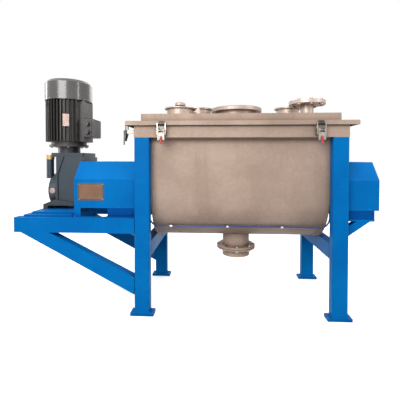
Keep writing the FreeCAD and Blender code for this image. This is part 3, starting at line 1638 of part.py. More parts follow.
faults = [
    f"{thing.Name}: {thing.State}"
    for thing in document.Objects
    if "Invalid" in thing.State or "Error" in thing.State
]
for node in nodes:
    if node.Shape.isNull() or not node.Shape.isValid():
        faults.append(f"{node.Label}: shape is null or not valid")
if faults:
    raise RuntimeError("; ".join(faults))
for node in nodes:
    node.Shape.exportStep(f"parts/{node.Label}.step")
print(len(nodes), "nodes written")
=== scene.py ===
import logging
import math
from dataclasses import dataclass, field
from enum import Enum
from typing import Callable, ClassVar, Iterable, Sequence

import bmesh
import bpy
from mathutils import Matrix, Vector


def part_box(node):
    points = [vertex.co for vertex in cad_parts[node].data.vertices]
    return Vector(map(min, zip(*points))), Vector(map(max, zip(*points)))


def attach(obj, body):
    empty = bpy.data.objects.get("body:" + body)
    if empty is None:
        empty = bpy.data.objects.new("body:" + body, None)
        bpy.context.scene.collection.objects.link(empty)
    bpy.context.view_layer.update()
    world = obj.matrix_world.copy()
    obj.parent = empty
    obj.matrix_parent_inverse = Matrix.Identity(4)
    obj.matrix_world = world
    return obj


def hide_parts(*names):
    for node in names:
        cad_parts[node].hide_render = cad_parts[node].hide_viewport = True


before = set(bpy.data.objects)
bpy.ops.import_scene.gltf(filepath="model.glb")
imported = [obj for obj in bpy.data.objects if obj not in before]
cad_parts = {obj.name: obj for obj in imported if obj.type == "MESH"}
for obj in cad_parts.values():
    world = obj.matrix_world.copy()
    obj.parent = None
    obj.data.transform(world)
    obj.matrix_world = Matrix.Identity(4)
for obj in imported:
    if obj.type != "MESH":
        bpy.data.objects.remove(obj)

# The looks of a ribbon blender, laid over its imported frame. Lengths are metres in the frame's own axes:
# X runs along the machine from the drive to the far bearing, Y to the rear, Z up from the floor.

log = logging.getLogger("ribbon_blender")
Colour = tuple[float, float, float]
Point = tuple[float, float, float]
Profile = Sequence[tuple[float, float]]
BUILT: dict[str, bpy.types.Material] = {}
AXIS_Z = 0.8                # height of the shaft, about which the trough's bottom is curved
MOTOR_RADIUS = 0.170        # from the motor's axis to the low X side of its box


# ------------------------------------------------------------------------------ shader building
class Graph:
    """A node tree with short ways to add nodes and to join them."""

    def __init__(self, tree: bpy.types.NodeTree) -> None:
        """Keep the tree that the nodes go into."""
        self.tree = tree

    def put(self, socket: bpy.types.NodeSocket, value: object) -> None:
        """Link a socket to another, or set its value.

        Args:
            socket: the input to feed.
            value: an output socket, a number, a colour or a vector.
        """
        if isinstance(value, bpy.types.NodeSocket):
            self.tree.links.new(value, socket)
        elif isinstance(value, (tuple, list)) and socket.type == "RGBA":
            socket.default_value = (*value[:3], 1.0)
        else:
            socket.default_value = value

    def node(self, kind: str, inputs: dict | None = None, **settings: object) -> bpy.types.Node:
        """Add a node.

        Args:
            kind: the node's type, without its ShaderNode prefix.
            inputs: values or sockets by the input's name or number.
            settings: the node's own properties.

        Returns:
            The new node.
        """
        made = self.tree.nodes.new("ShaderNode" + kind)
        for key, value in settings.items():
            setattr(made, key, value)
        for key, value in (inputs or {}).items():
            self.put(made.inputs[key], value)
        return made

    def math(self, operation: str, first: object, second: object = 0.0) -> bpy.types.NodeSocket:
        """Return the result of a sum on two numbers."""
        return self.node("Math", {0: first, 1: second}, operation=operation).outputs[0]

    def stretch(self, vector: object, scale: Point) -> bpy.types.NodeSocket:
        """Return a vector multiplied along each axis."""
        return self.node("VectorMath", {0: vector, 1: scale}, operation="MULTIPLY").outputs[0]

    def noise(self, vector: object, scale: object, detail: float = 4.0,
              rough: float = 0.55) -> bpy.types.NodeSocket:
        """Return a noise value from 0 to 1 over the vector."""
        wanted = {"Vector": vector, "Scale": scale, "Detail": detail, "Roughness": rough}
        return self.node("TexNoise", wanted).outputs[0]

    def between(self, value: object, low: object, high: object) -> bpy.types.NodeSocket:
        """Return 0 below low and 1 above high, with a soft step between them."""
        wanted = {"Value": value, "From Min": low, "From Max": high}
        return self.node("MapRange", wanted, interpolation_type="SMOOTHSTEP").outputs[0]

    def mix(self, factor: object, first: object, second: object, blend: str = "MIX") -> bpy.types.NodeSocket:
        """Return two colours mixed by a factor."""
        wanted = {0: factor, 6: first, 7: second}
        return self.node("Mix", wanted, data_type="RGBA", blend_type=blend).outputs[2]


class Effect:
    """A shader node group that many materials share, built the first time that it is placed."""

    INPUTS: ClassVar[dict[str, object]] = {}
    OUTPUTS: ClassVar[dict[str, str]] = {}
    KINDS: ClassVar[dict[type, str]] = {
        float: "NodeSocketFloat", tuple: "NodeSocketColor", Vector: "NodeSocketVector",
    }

    @classmethod
    def tree(cls) -> bpy.types.NodeTree:
        """Return the effect's node group, made if there is none yet."""
        name = cls.__name__
        if name in bpy.data.node_groups:
            return bpy.data.node_groups[name]
        tree = bpy.data.node_groups.new(name, "ShaderNodeTree")
        for title, default in cls.INPUTS.items():
            socket = tree.interface.new_socket(title, in_out="INPUT", socket_type=cls.KINDS[type(default)])
            socket.default_value = (*default, 1.0) if isinstance(default, tuple) else default
        for title, kind in cls.OUTPUTS.items():
            tree.interface.new_socket(title, in_out="OUTPUT", socket_type=kind)
        graph = Graph(tree)
        source = tree.nodes.new("NodeGroupInput").outputs
        sink = tree.nodes.new("NodeGroupOutput").inputs
        for title, socket in cls.wire(graph, source).items():
            tree.links.new(socket, sink[title])
        return tree

    @classmethod
    def wire(cls, graph: Graph, source: object) -> dict[str, bpy.types.NodeSocket]:
        """Make the group's nodes and return what feeds each output."""
        raise NotImplementedError

    @classmethod
    def place(cls, graph: Graph, **values: object) -> bpy.types.NodeOutputs:
        """Put the effect into a material.

        Args:
            graph: the material's graph.
            values: a value or a socket for each input that is not left at its default.

        Returns:
            The outputs of the placed group.
        """
        placed = graph.tree.nodes.new("ShaderNodeGroup")
        placed.node_tree = cls.tree()
        for title, value in values.items():
            graph.put(placed.inputs[title], value)
        return placed.outputs


class Tone(Effect):
    """Two tones of one colour in soft clouds with a finer mottle over them."""

    INPUTS = {"Place": Vector(), "First": (0.5, 0.5, 0.5), "Second": (0.4, 0.4, 0.4), "Scale": 3.0}
    OUTPUTS = {"Colour": "NodeSocketColor", "Cloud": "NodeSocketFloat"}

    @classmethod
    def wire(cls, graph: Graph, source: object) -> dict[str, bpy.types.NodeSocket]:
        """Mix a broad and a fine noise and colour by them."""
        broad = graph.noise(source["Place"], source["Scale"], 3.0)
        fine = graph.noise(source["Place"], graph.math("MULTIPLY", source["Scale"], 14.0), 5.0, 0.7)
        cloud = graph.math("ADD", graph.math("MULTIPLY", broad, 0.72), graph.math("MULTIPLY", fine, 0.28))
        cloud = graph.between(cloud, 0.36, 0.64)
        return {"Colour": graph.mix(cloud, source["Second"], source["First"]), "Cloud": cloud}


class EdgeWearAndHighlight(Effect):
    """A mask of the edges, broken up as handling and knocks rub them; on the gearbox and the ports it also
    paints a highlight.
    """

    INPUTS = {"Place": Vector(), "Width": 0.002, "Amount": 0.5}
    OUTPUTS = {"Mask": "NodeSocketFloat"}

    @classmethod
    def wire(cls, graph: Graph, source: object) -> dict[str, bpy.types.NodeSocket]:
        """Compare the rounded normal with the true one, and let noise eat into the line."""
        rounded = graph.node("Bevel", {"Radius": source["Width"]}, samples=4).outputs[0]
        flat = graph.node("NewGeometry").outputs["Normal"]
        turn = graph.node("VectorMath", {0: rounded, 1: flat}, operation="DOT_PRODUCT").outputs["Value"]
        edge = graph.between(graph.math("SUBTRACT", 1.0, turn), 0.01, 0.16)
        chips = graph.between(graph.noise(source["Place"], 60.0, 6.0, 0.7), 0.42, 0.66)
        edge_wear_and_highlight_mask = graph.math("MULTIPLY", edge, graph.math("ADD", graph.math("MULTIPLY", chips, 0.8), 0.2))
        return {"Mask": graph.math("MULTIPLY", edge_wear_and_highlight_mask, source["Amount"])}


class Hollow(Effect):
    """A mask of inner corners and narrow gaps, where painted shade darkens the colour."""

    INPUTS = {"Reach": 0.05, "Amount": 1.0}
    OUTPUTS = {"Mask": "NodeSocketFloat"}

    @classmethod
    def wire(cls, graph: Graph, source: object) -> dict[str, bpy.types.NodeSocket]:
        """Turn the open share of the sky over each place into a mask of what is closed."""
        light = graph.node("AmbientOcclusion", {"Distance": source["Reach"]}, samples=6).outputs["AO"]
        closed = graph.math("SUBTRACT", 1.0, graph.between(light, 0.25, 0.95))
        return {"Mask": graph.math("MULTIPLY", closed, source["Amount"])}


class Dust(Effect):
    """A mask of fine powder that settles on what faces up."""

    INPUTS = {"Place": Vector(), "Amount": 0.3}
    OUTPUTS = {"Mask": "NodeSocketFloat"}

    @classmethod
    def wire(cls, graph: Graph, source: object) -> dict[str, bpy.types.NodeSocket]:
        """Take the upward share of the normal and break it up with noise."""
        normal = graph.node("NewGeometry").outputs["Normal"]
        up = graph.node("SeparateXYZ", {0: normal}).outputs["Z"]
        facing = graph.between(up, 0.35, 1.0)
        patchy = graph.between(graph.noise(source["Place"], 11.0, 7.0, 0.65), 0.35, 0.75)
        return {"Mask": graph.math("MULTIPLY", graph.math("MULTIPLY", facing, patchy), source["Amount"])}


class Streaks(Effect):
    """A mask of thin runs down an upright face, from wiping and wash water."""

    INPUTS = {"Place": Vector(), "Scale": 9.0, "Amount": 0.5}
    OUTPUTS = {"Mask": "NodeSocketFloat"}

    @classmethod
    def wire(cls, graph: Graph, source: object) -> dict[str, bpy.types.NodeSocket]:
        """Draw a noise out along Z and keep its peaks."""
        drawn = graph.stretch(source["Place"], (1.0, 1.0, 0.07))
        runs = graph.between(graph.noise(drawn, source["Scale"], 6.0, 0.62), 0.5, 0.78)
        return {"Mask": graph.math("MULTIPLY", runs, source["Amount"])}


class OrangePeel(Effect):
    """The height of sprayed paint: a slow ripple with fine dimples."""

    INPUTS = {"Place": Vector(), "Scale": 180.0}
    OUTPUTS = {"Height": "NodeSocketFloat"}

    @classmethod
    def wire(cls, graph: Graph, source: object) -> dict[str, bpy.types.NodeSocket]:
        """Add two noises, the finer one faint."""
        ripple = graph.noise(source["Place"], source["Scale"], 1.5)
        dimple = graph.noise(source["Place"], graph.math("MULTIPLY", source["Scale"], 5.0), 2.0)
        return {"Height": graph.math("ADD", ripple, graph.math("MULTIPLY", dimple, 0.25))}


class BeadBlast(Effect):
    """The height and shade of blasted sheet: even pits and faint lanes left by the nozzle."""

    INPUTS = {"Place": Vector(), "Scale": 520.0}
    OUTPUTS = {"Height": "NodeSocketFloat", "Shade": "NodeSocketFloat"}

    @classmethod
    def wire(cls, graph: Graph, source: object) -> dict[str, bpy.types.NodeSocket]:
        """Mix pits of cell noise with broad lanes."""
        wanted = {"Vector": source["Place"], "Scale": source["Scale"]}
        pits = graph.node("TexVoronoi", wanted).outputs["Distance"]
        lanes = graph.noise(graph.stretch(source["Place"], (0.35, 1.0, 3.2)), 5.5, 4.0, 0.6)
        return {"Height": pits, "Shade": graph.between(lanes, 0.3, 0.7)}


class BrushedGrain(Effect):
    """Fine parallel scratches along one way."""

    INPUTS = {"Place": Vector(), "Scale": 160.0}
    OUTPUTS = {"Height": "NodeSocketFloat", "Shade": "NodeSocketFloat"}

    @classmethod
    def wire(cls, graph: Graph, source: object) -> dict[str, bpy.types.NodeSocket]:
        """Draw a noise out along X and add a finer one."""
        drawn = graph.stretch(source["Place"], (0.02, 1.0, 1.0))
        coarse = graph.noise(drawn, source["Scale"], 5.0, 0.7)
        fine = graph.noise(drawn, graph.math("MULTIPLY", source["Scale"], 6.0), 3.0, 0.7)
        both = graph.math("ADD", graph.math("MULTIPLY", coarse, 0.6), graph.math("MULTIPLY", fine, 0.4))
        return {"Height": both, "Shade": graph.between(both, 0.35, 0.65)}


class CastSkin(Effect):
    """The height and shade of painted sand casting: grains, soft lumps and a few pits."""

    INPUTS = {"Place": Vector(), "Scale": 140.0}
    OUTPUTS = {"Height": "NodeSocketFloat", "Shade": "NodeSocketFloat"}

    @classmethod
    def wire(cls, graph: Graph, source: object) -> dict[str, bpy.types.NodeSocket]:
        """Add grains to lumps and cut the pits in."""
        lumps = graph.noise(source["Place"], graph.math("MULTIPLY", source["Scale"], 0.25), 3.0)
        grains = graph.noise(source["Place"], graph.math("MULTIPLY", source["Scale"], 3.0), 6.0, 0.75)
        pits = graph.between(graph.noise(source["Place"], source["Scale"], 2.0), 0.24, 0.34)
        body = graph.math("ADD", graph.math("MULTIPLY", lumps, 0.5), graph.math("MULTIPLY", grains, 0.5))
        return {"Height": graph.math("MULTIPLY", body, pits), "Shade": graph.between(lumps, 0.35, 0.65)}


# ------------------------------------------------------------------------------------- finishes
class Grain(Enum):
    """The relief that a finish has close up, with the scale and the depth that suit it."""

    PEEL = (OrangePeel, 180.0, 0.00012)
    BLAST = (BeadBlast, 520.0, 0.00016)
    BRUSH = (BrushedGrain, 160.0, 0.00012)
    CAST = (CastSkin, 140.0, 0.0006)

    def __init__(self, effect: type[Effect], scale: float, depth: float) -> None:
        """Keep the effect and its usual values."""
        self.effect = effect
        self.scale = scale
        self.depth = depth


@dataclass(frozen=True)
class Finish:
    """One surface finish, from which a material is built.

    The edge colour shows on rubbed edges, and on the gearbox and the ports it also paints a highlight; the
    dark colour is painted shade in hollows and dirt in streaks; the powder colour lies on top.
    """

    name: str
    colour: Colour
    second: Colour
    roughness: float
    grain: Grain
    metal: float = 0.0
    coat: float = 0.0
    coat_roughness: float = 0.1
    cloud: float = 3.0
    edge_wear_and_highlight: float = 0.0
    edge_wear_and_highlight_width: float = 0.002
    edge_wear_and_highlight_colour: Colour = (0.45, 0.43, 0.4)
    painted_hollow_shade: float = 0.4
    grime_and_shade_colour: Colour = (0.03, 0.025, 0.02)
    streaks: float = 0.15
    powder: float = 0.08
    powder_colour: Colour = (0.62, 0.58, 0.52)
    relief: float = 1.0
    specular: float = 0.5

    def material(self) -> bpy.types.Material:
        """Return the finish's material, built once."""
        if self.name in BUILT:
            return BUILT[self.name]
        made = bpy.data.materials.new(self.name)
        BUILT[self.name] = made
        made.use_nodes = True
        made.node_tree.nodes.clear()
        graph = Graph(made.node_tree)
        place = graph.node("TexCoord").outputs["Object"]
        tone = Tone.place(graph, Place=place, First=self.colour, Second=self.second, Scale=self.cloud)
        relief = self.grain.effect.place(graph, Place=place, Scale=self.grain.scale)
        colour = self.soil_and_shade(graph, place, tone["Colour"])
        rough = graph.math("ADD", graph.math("MULTIPLY", tone["Cloud"], -0.07), self.roughness + 0.035)
        metal: object = self.metal
        if "Shade" in relief:
            colour = graph.mix(graph.math("MULTIPLY", relief["Shade"], 0.16), colour, self.second)
            rough = graph.math("ADD", rough, graph.math("MULTIPLY", relief["Shade"], 0.06))
        # edge rubbing, which on the gearbox and the ports also paints a highlight along the edges
        if self.edge_wear_and_highlight:
            edge_wear_and_highlight_mask = EdgeWearAndHighlight.place(graph, Place=place, Width=self.edge_wear_and_highlight_width, Amount=self.edge_wear_and_highlight)["Mask"]
            colour = graph.mix(edge_wear_and_highlight_mask, colour, self.edge_wear_and_highlight_colour)
            metal = graph.math("MAXIMUM", edge_wear_and_highlight_mask, self.metal)
        bump = graph.node("Bump", {"Height": relief["Height"], "Strength": 0.6 * self.relief,
                                   "Distance": self.grain.depth})
        shader = graph.node("BsdfPrincipled", {
            "Base Color": colour, "Roughness": rough, "Metallic": metal, "Normal": bump.outputs[0],
            "Coat Weight": self.coat, "Coat Roughness": self.coat_roughness,
            "Specular IOR Level": self.specular,
        })
        graph.node("OutputMaterial", {"Surface": shader.outputs[0]})
        return made

    def soil_and_shade(self, graph: Graph, place: object, colour: object) -> object:
        """Lay painted shade in the hollows, dirt streaks down the faces and powder on top.

        Args:
            graph: the material's graph.
            place: the surface's place in the frame.
            colour: the clean colour.

        Returns:
            The colour with painted shade, streaks and powder laid on.
        """
        if self.painted_hollow_shade:
            # painted shade: the hollow mask darkens inner corners and gaps
            colour = graph.mix(Hollow.place(graph, Amount=self.painted_hollow_shade)["Mask"], colour, self.grime_and_shade_colour)
        if self.streaks:
            runs = Streaks.place(graph, Place=place, Amount=self.streaks)["Mask"]
            colour = graph.mix(runs, colour, self.grime_and_shade_colour)
        if self.powder:
            settled = Dust.place(graph, Place=place, Amount=self.powder)["Mask"]
            colour = graph.mix(settled, colour, self.powder_colour)
        return colour


# In these finishes the hollow amount and the dark colour paint shade into corners and gaps; the streaks in
# that colour are dirt.
BLUE_PAINT = Finish("blue_paint", (0.0005, 0.165, 0.49), (0.0003, 0.135, 0.43), 0.42, Grain.PEEL,
                    edge_wear_and_highlight=0.25, edge_wear_and_highlight_width=0.0015, edge_wear_and_highlight_colour=(0.03, 0.3, 0.6), painted_hollow_shade=0.7,
                    grime_and_shade_colour=(0.0, 0.03, 0.15), streaks=0.05, powder=0.01, specular=0.05)
# painted shade: a darker copy of the blue paint for the skirts, which sit inset in the guards' shade
SHADED_PAINT = Finish("skirt_painted_shade", (0.0003, 0.08, 0.32), (0.0002, 0.06, 0.27), 0.45, Grain.PEEL,
                      edge_wear_and_highlight=0.2, edge_wear_and_highlight_colour=(0.03, 0.2, 0.45), painted_hollow_shade=0.7, grime_and_shade_colour=(0.0, 0.01, 0.07),
                      powder=0.01, specular=0.05)
BLASTED_STEEL = Finish("stainless", (0.45, 0.335, 0.27), (0.35, 0.255, 0.2), 0.52, Grain.BLAST, metal=0.2,
                       edge_wear_and_highlight=0.35, edge_wear_and_highlight_width=0.0018, edge_wear_and_highlight_colour=(0.62, 0.5, 0.42), painted_hollow_shade=0.8,
                       grime_and_shade_colour=(0.06, 0.035, 0.022), streaks=0.14, powder=0.03, specular=0.2)
# partly painted light: the ports' lighter colour and pale edges stand in for the light that they catch from
# above, on top of their brushed finish
PORT_STEEL = Finish("port_steel", (0.6, 0.49, 0.42), (0.48, 0.38, 0.32), 0.42, Grain.BRUSH, metal=0.45,
                    edge_wear_and_highlight=0.4, edge_wear_and_highlight_width=0.0015, edge_wear_and_highlight_colour=(0.8, 0.7, 0.62), painted_hollow_shade=0.8,
                    grime_and_shade_colour=(0.06, 0.035, 0.022), powder=0.05)
GROUND_STEEL = Finish("shaft_steel", (0.52, 0.49, 0.45), (0.42, 0.39, 0.36), 0.32, Grain.BRUSH, metal=0.9,
                      edge_wear_and_highlight=0.3, edge_wear_and_highlight_colour=(0.7, 0.68, 0.65), painted_hollow_shade=0.6, streaks=0.0, powder=0.25)
LATCH_STEEL = Finish("latch_steel", (0.55, 0.5, 0.45), (0.42, 0.37, 0.33), 0.3, Grain.BRUSH, metal=0.85,
                     edge_wear_and_highlight=0.4, edge_wear_and_highlight_width=0.001, edge_wear_and_highlight_colour=(0.75, 0.72, 0.68), painted_hollow_shade=0.8, cloud=20.0)
# dark steel of the keepers, also put on the end latch as painted shade
KEEPER_AND_SHADE_STEEL = Finish("keeper_steel", (0.1, 0.095, 0.09), (0.06, 0.055, 0.05), 0.42, Grain.BRUSH, metal=0.7,
                    edge_wear_and_highlight=0.5, edge_wear_and_highlight_width=0.001, cloud=20.0)
BOLT_STEEL = Finish("bolt_steel", (0.52, 0.49, 0.46), (0.4, 0.37, 0.34), 0.34, Grain.BRUSH, metal=0.9,
                    edge_wear_and_highlight=0.4, edge_wear_and_highlight_width=0.0008, painted_hollow_shade=0.8, cloud=25.0)
WHITE_RUBBER = Finish("seal_rubber", (0.55, 0.53, 0.48), (0.46, 0.44, 0.4), 0.62, Grain.CAST, relief=0.3,
                      painted_hollow_shade=0.6, powder=0.1)
BLACK_IRON = Finish("cast_iron", (0.045, 0.045, 0.048), (0.03, 0.03, 0.032), 0.55, Grain.CAST, metal=0.25,
                    edge_wear_and_highlight=0.4, edge_wear_and_highlight_colour=(0.3, 0.3, 0.3), cloud=9.0, powder=0.2)
# painted highlight: the wide, pale edge band lightens the gearbox's rib edges in place of their highlight, on
# top of real rubbing
GEARBOX_PAINT = Finish("gearbox_paint", (0.014, 0.03, 0.046), (0.009, 0.019, 0.03), 0.42, Grain.CAST,
                       coat=0.15, coat_roughness=0.25, edge_wear_and_highlight=0.35, edge_wear_and_highlight_width=0.0025,
                       edge_wear_and_highlight_colour=(0.16, 0.17, 0.18), painted_hollow_shade=0.7, cloud=6.0, powder=0.12, relief=0.7)
BRASS = Finish("breather_brass", (0.62, 0.44, 0.2), (0.5, 0.34, 0.13), 0.3, Grain.BRUSH, metal=0.8, painted_hollow_shade=0.5,
               cloud=25.0)
MOTOR_PAINT = Finish("motor_paint", (0.04, 0.034, 0.031), (0.026, 0.021, 0.02), 0.45, Grain.CAST, coat=0.1,
                     coat_roughness=0.25, edge_wear_and_highlight=0.4, edge_wear_and_highlight_width=0.0015, edge_wear_and_highlight_colour=(0.17, 0.14, 0.12), painted_hollow_shade=0.75,
                     grime_and_shade_colour=(0.006, 0.005, 0.005), cloud=7.0, powder=0.1, relief=0.5)
COWL_PAINT = Finish("cowl_paint", (0.105, 0.1, 0.095), (0.08, 0.075, 0.072), 0.26, Grain.PEEL, metal=0.15,
                    coat=0.5, coat_roughness=0.12, edge_wear_and_highlight=0.3, edge_wear_and_highlight_colour=(0.35, 0.33, 0.31), painted_hollow_shade=0.4, powder=0.06)
HOSE_BLUE = Finish("hose_plastic", (0.012, 0.045, 0.24), (0.008, 0.03, 0.17), 0.28, Grain.PEEL, coat=0.3,
                   painted_hollow_shade=0.3, cloud=12.0, powder=0.04)
CLIP_STEEL = Finish("clip_steel", (0.75, 0.74, 0.72), (0.62, 0.61, 0.6), 0.25, Grain.BRUSH, metal=0.7,
                    painted_hollow_shade=0.5, cloud=25.0)
SPIDER_RUBBER = Finish("spider_rubber", (0.45, 0.06, 0.02), (0.35, 0.04, 0.015), 0.5, Grain.PEEL, painted_hollow_shade=0.5)
FAN_PLASTIC = Finish("fan_plastic", (0.03, 0.03, 0.032), (0.02, 0.02, 0.022), 0.5, Grain.PEEL, powder=0.2)
RED_GRIP = Finish("red_grip", (0.46, 0.04, 0.025), (0.36, 0.03, 0.02), 0.33, Grain.PEEL, coat=0.3, cloud=30.0,
                  painted_hollow_shade=0.4, edge_wear_and_highlight=0.3, edge_wear_and_highlight_width=0.001, edge_wear_and_highlight_colour=(0.6, 0.18, 0.13))
# painted shade: the end latch's grip is black for the shade that it sits in
END_GRIP_PAINTED_SHADE = Finish("end_grip_painted_shade", (0.02, 0.02, 0.02), (0.012, 0.012, 0.012), 0.36, Grain.PEEL, coat=0.2,
                    cloud=30.0)
BRONZE_PLATE = Finish("plate_bronze", (0.2, 0.1, 0.055), (0.15, 0.072, 0.038), 0.36, Grain.BRUSH, metal=0.5,
                      coat=0.3, painted_hollow_shade=0.3, cloud=14.0, streaks=0.0)
PLATE_BORDER = Finish("plate_border", (0.1, 0.085, 0.07), (0.07, 0.06, 0.05), 0.4, Grain.BRUSH, metal=0.5,
                      cloud=14.0)
PALE_PLATE = Finish("plate_pale", (0.5, 0.36, 0.32), (0.42, 0.29, 0.25), 0.4, Grain.BRUSH, metal=0.35,
                    painted_hollow_shade=0.3, cloud=30.0, streaks=0.0)
BLACK_PLASTIC = Finish("black_plastic", (0.018, 0.018, 0.019), (0.011, 0.011, 0.012), 0.42, Grain.PEEL,
                       cloud=14.0, powder=0.15)
SIGHT_GLASS = Finish("sight_glass", (0.5, 0.38, 0.16), (0.42, 0.3, 0.1), 0.12, Grain.PEEL, coat=0.8,
                     coat_roughness=0.03, relief=0.1, cloud=40.0, streaks=0.0, powder=0.0)
WELD_STEEL = Finish("weld_steel", (0.36, 0.29, 0.24), (0.26, 0.2, 0.16), 0.4, Grain.BRUSH, metal=0.7,
                    painted_hollow_shade=0.7, cloud=30.0, streaks=0.0, powder=0.0)


# --------------------------------------------------------------------------------- mesh building
@dataclass(frozen=True)
class Box:
    """The corners of a CAD node, with names for its sides."""

    low: Vector
    high: Vector

    @classmethod
    def of(cls, node: str) -> "Box":
        """Return the box of a CAD node at rest."""
        return cls(*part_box(node))

    @property
    def middle(self) -> Vector:
        """The box's middle."""
        return (self.low + self.high) / 2

    @property
    def size(self) -> Vector:
        """The box's size along each axis."""
        return self.high - self.low


class Piece:
    """A mesh under construction in the frame's axes."""

    def __init__(self, name: str) -> None:
        """Start an empty mesh."""
        self.name = name
        self.mesh = bmesh.new()

    def faces(self, points: Iterable[Vector], loops: Iterable[Sequence[int]]) -> list[bmesh.types.BMFace]:
        """Add points and the faces between them."""
        made = [self.mesh.verts.new(point) for point in points]
        return [self.mesh.faces.new([made[i] for i in loop]) for loop in loops]

    def turned(self, profile: Profile, place: Point, axis: Point = (0, 0, 1), steps: int = 48) -> "Piece":
        """Turn a profile round an axis.

        Args:
            profile: pairs of radius and height, from one end to the other. A radius of 0 closes the end.
            place: the point of the axis at height 0.
            axis: the way in which the height runs.
            steps: faces round the axis.

        Returns:
            The piece itself.
        """
        turn = Vector((0, 0, 1)).rotation_difference(Vector(axis)).to_matrix().to_4x4()
        to_place = Matrix.Translation(place) @ turn
        rings = []
        for radius, height in profile:
            count = 1 if radius == 0 else steps
            ring = []
            for i in range(count):
                angle = 2 * math.pi * i / steps
                spot = Vector((radius * math.cos(angle), radius * math.sin(angle), height))
                ring.append(self.mesh.verts.new(to_place @ spot))
            rings.append(ring)
        for one, two in zip(rings, rings[1:]):
            for i in range(steps):
                j = (i + 1) % steps
                corners = [one[i % len(one)], one[j % len(one)], two[j % len(two)], two[i % len(two)]]
                unique = list(dict.fromkeys(corners))
                if len(unique) > 2:
                    self.mesh.faces.new(unique)
        return self

    def extruded(self, outline: Profile, place: Point, across: Point, up: Point, deep: float) -> "Piece":
        """Raise an outline into a solid.

        Args:
            outline: the corners, counter-clockwise as seen from the raised side.
            place: the outline's origin.
            across: the way of the outline's first number.
            up: the way of the outline's second number.
            deep: how far it rises along across × up.

        Returns:
            The piece itself.
        """
        first = Vector(across)
        second = Vector(up)
        rise = first.cross(second) * deep
        base = [Vector(place) + first * a + second * b for a, b in outline]
        count = len(base)
        sides = [(i, (i + 1) % count, (i + 1) % count + count, i + count) for i in range(count)]
        ends = [tuple(reversed(range(count))), tuple(range(count, 2 * count))]
        self.faces(base + [point + rise for point in base], sides + ends)
        return self

    def block(self, low: Sequence[float], high: Sequence[float], round_edges: float = 0.0) -> "Piece":
        """Add a block between two corners, with its edges rounded."""
        grown = bmesh.ops.create_cube(self.mesh, size=1.0)["verts"]
        size = Vector(high) - Vector(low)
        for vert in grown:
            vert.co = Vector(low) + Vector(size[i] * (vert.co[i] + 0.5) for i in range(3))
        if round_edges:
            edges = list({edge for vert in grown for edge in vert.link_edges})
            bmesh.ops.bevel(self.mesh, geom=edges, offset=round_edges, segments=2, affect="EDGES",
                            profile=0.7)
        return self

    def tube(self, path: Sequence[Vector], radius: Callable[[float], float], sides: int = 12,
             closed: bool = False) -> "Piece":
        """Lay a round tube along points.

        Args:
            path: the points of its line.
            radius: the radius at a share of its length from 0 to 1.
            sides: faces round the line.
            closed: whether the last point runs back to the first.

        Returns:
            The piece itself.
        """
        count = len(path)
        rings = []
        side = None
        for i, point in enumerate(path):
            before = path[i - 1] if i or closed else point
            after = path[(i + 1) % count] if i + 1 < count or closed else point
            ahead = (after - before).normalized()
            if side is None:
                side = ahead.orthogonal().normalized()
            side = (side - ahead * side.dot(ahead)).normalized()
            up = ahead.cross(side)
            thick = radius(i / max(count - 1, 1))
            ring = []
            for j in range(sides):
                angle = 2 * math.pi * j / sides
                ring.append(self.mesh.verts.new(
                    point + side * thick * math.cos(angle) + up * thick * math.sin(angle)
                ))
            rings.append(ring)
        return self.skin(rings, closed)

    def skin(self, rings: list[list[bmesh.types.BMVert]], closed: bool = False) -> "Piece":
        """Join rings of as many points each.

        Args:
            rings: the rings, from one end to the other.
            closed: whether the last ring meets the first. If not, both ends are shut.

        Returns:
            The piece itself.
        """
        for one, two in zip(rings, rings[1:] + rings[:1] if closed else rings[1:]):
            for j in range(len(one)):
                k = (j + 1) % len(one)
                self.mesh.faces.new((one[j], one[k], two[k], two[j]))
        if not closed:
            self.mesh.faces.new(reversed(rings[0]))
            self.mesh.faces.new(rings[-1])
        return self

    def weld(self, path: Sequence[Vector], radius: float, closed: bool = False) -> "Piece":
        """Lay a weld bead along straight runs, with its ripples."""
        step = radius * 0.9
        points = []
        stops = list(path) + ([path[0]] if closed else [])
        for one, two in zip(stops, stops[1:]):
            count = max(2, round((two - one).length / step))
            points += [one.lerp(two, i / count) for i in range(count)]
        if not closed:
            points.append(stops[-1])

        def ripple(share: float) -> float:
            """Return the bead's radius at a share of its length."""
            return radius * (0.9 + 0.16 * math.sin(share * len(points) * 2.1))

        return self.tube(points, ripple, 6, closed)

    def bolt(self, place: Point, axis: Point, radius: float, washer: bool = True) -> "Piece":
        """Add a hexagon head with its bevelled top, on a washer."""
        tall = radius * 0.75
        start = 0.0
        if washer:
            start = radius * 0.2
            self.turned(((0, 0), (radius * 1.35, 0), (radius * 1.35, start), (0, start)), place, axis, 20)
        self.turned(((0, start), (radius, start), (radius, start + tall * 0.85),
                     (radius * 0.86, start + tall), (0, start + tall)), place, axis, 6)
        return self

    def screw(self, place: Point, axis: Point, radius: float) -> "Piece":
        """Add a low domed screw head with a socket sunk into it."""
        profile = ((radius, 0), (radius * 0.97, radius * 0.3), (radius * 0.75, radius * 0.55),
                   (radius * 0.42, radius * 0.62), (radius * 0.38, radius * 0.25), (0, radius * 0.2))
        return self.turned(profile, place, axis, 18)

    def done(self, finish: Finish, body: str, sharp: float = 40.0) -> bpy.types.Object:
        """Make the object, dress it and let it ride on a body.

        Args:
            finish: the finish to give it.
            body: the body that it moves with.
            sharp: the angle in degrees above which an edge stays sharp.

        Returns:
            The new object.
        """
        bmesh.ops.recalc_face_normals(self.mesh, faces=self.mesh.faces)
        data = bpy.data.meshes.new(self.name)
        self.mesh.to_mesh(data)
        self.mesh.free()
        data.polygons.foreach_set("use_smooth", [True] * len(data.polygons))
        data.set_sharp_from_angle(angle=math.radians(sharp))
        made = bpy.data.objects.new(self.name, data)
        bpy.context.scene.collection.objects.link(made)
        made.data.materials.append(finish.material())
        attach(made, body)
        return made


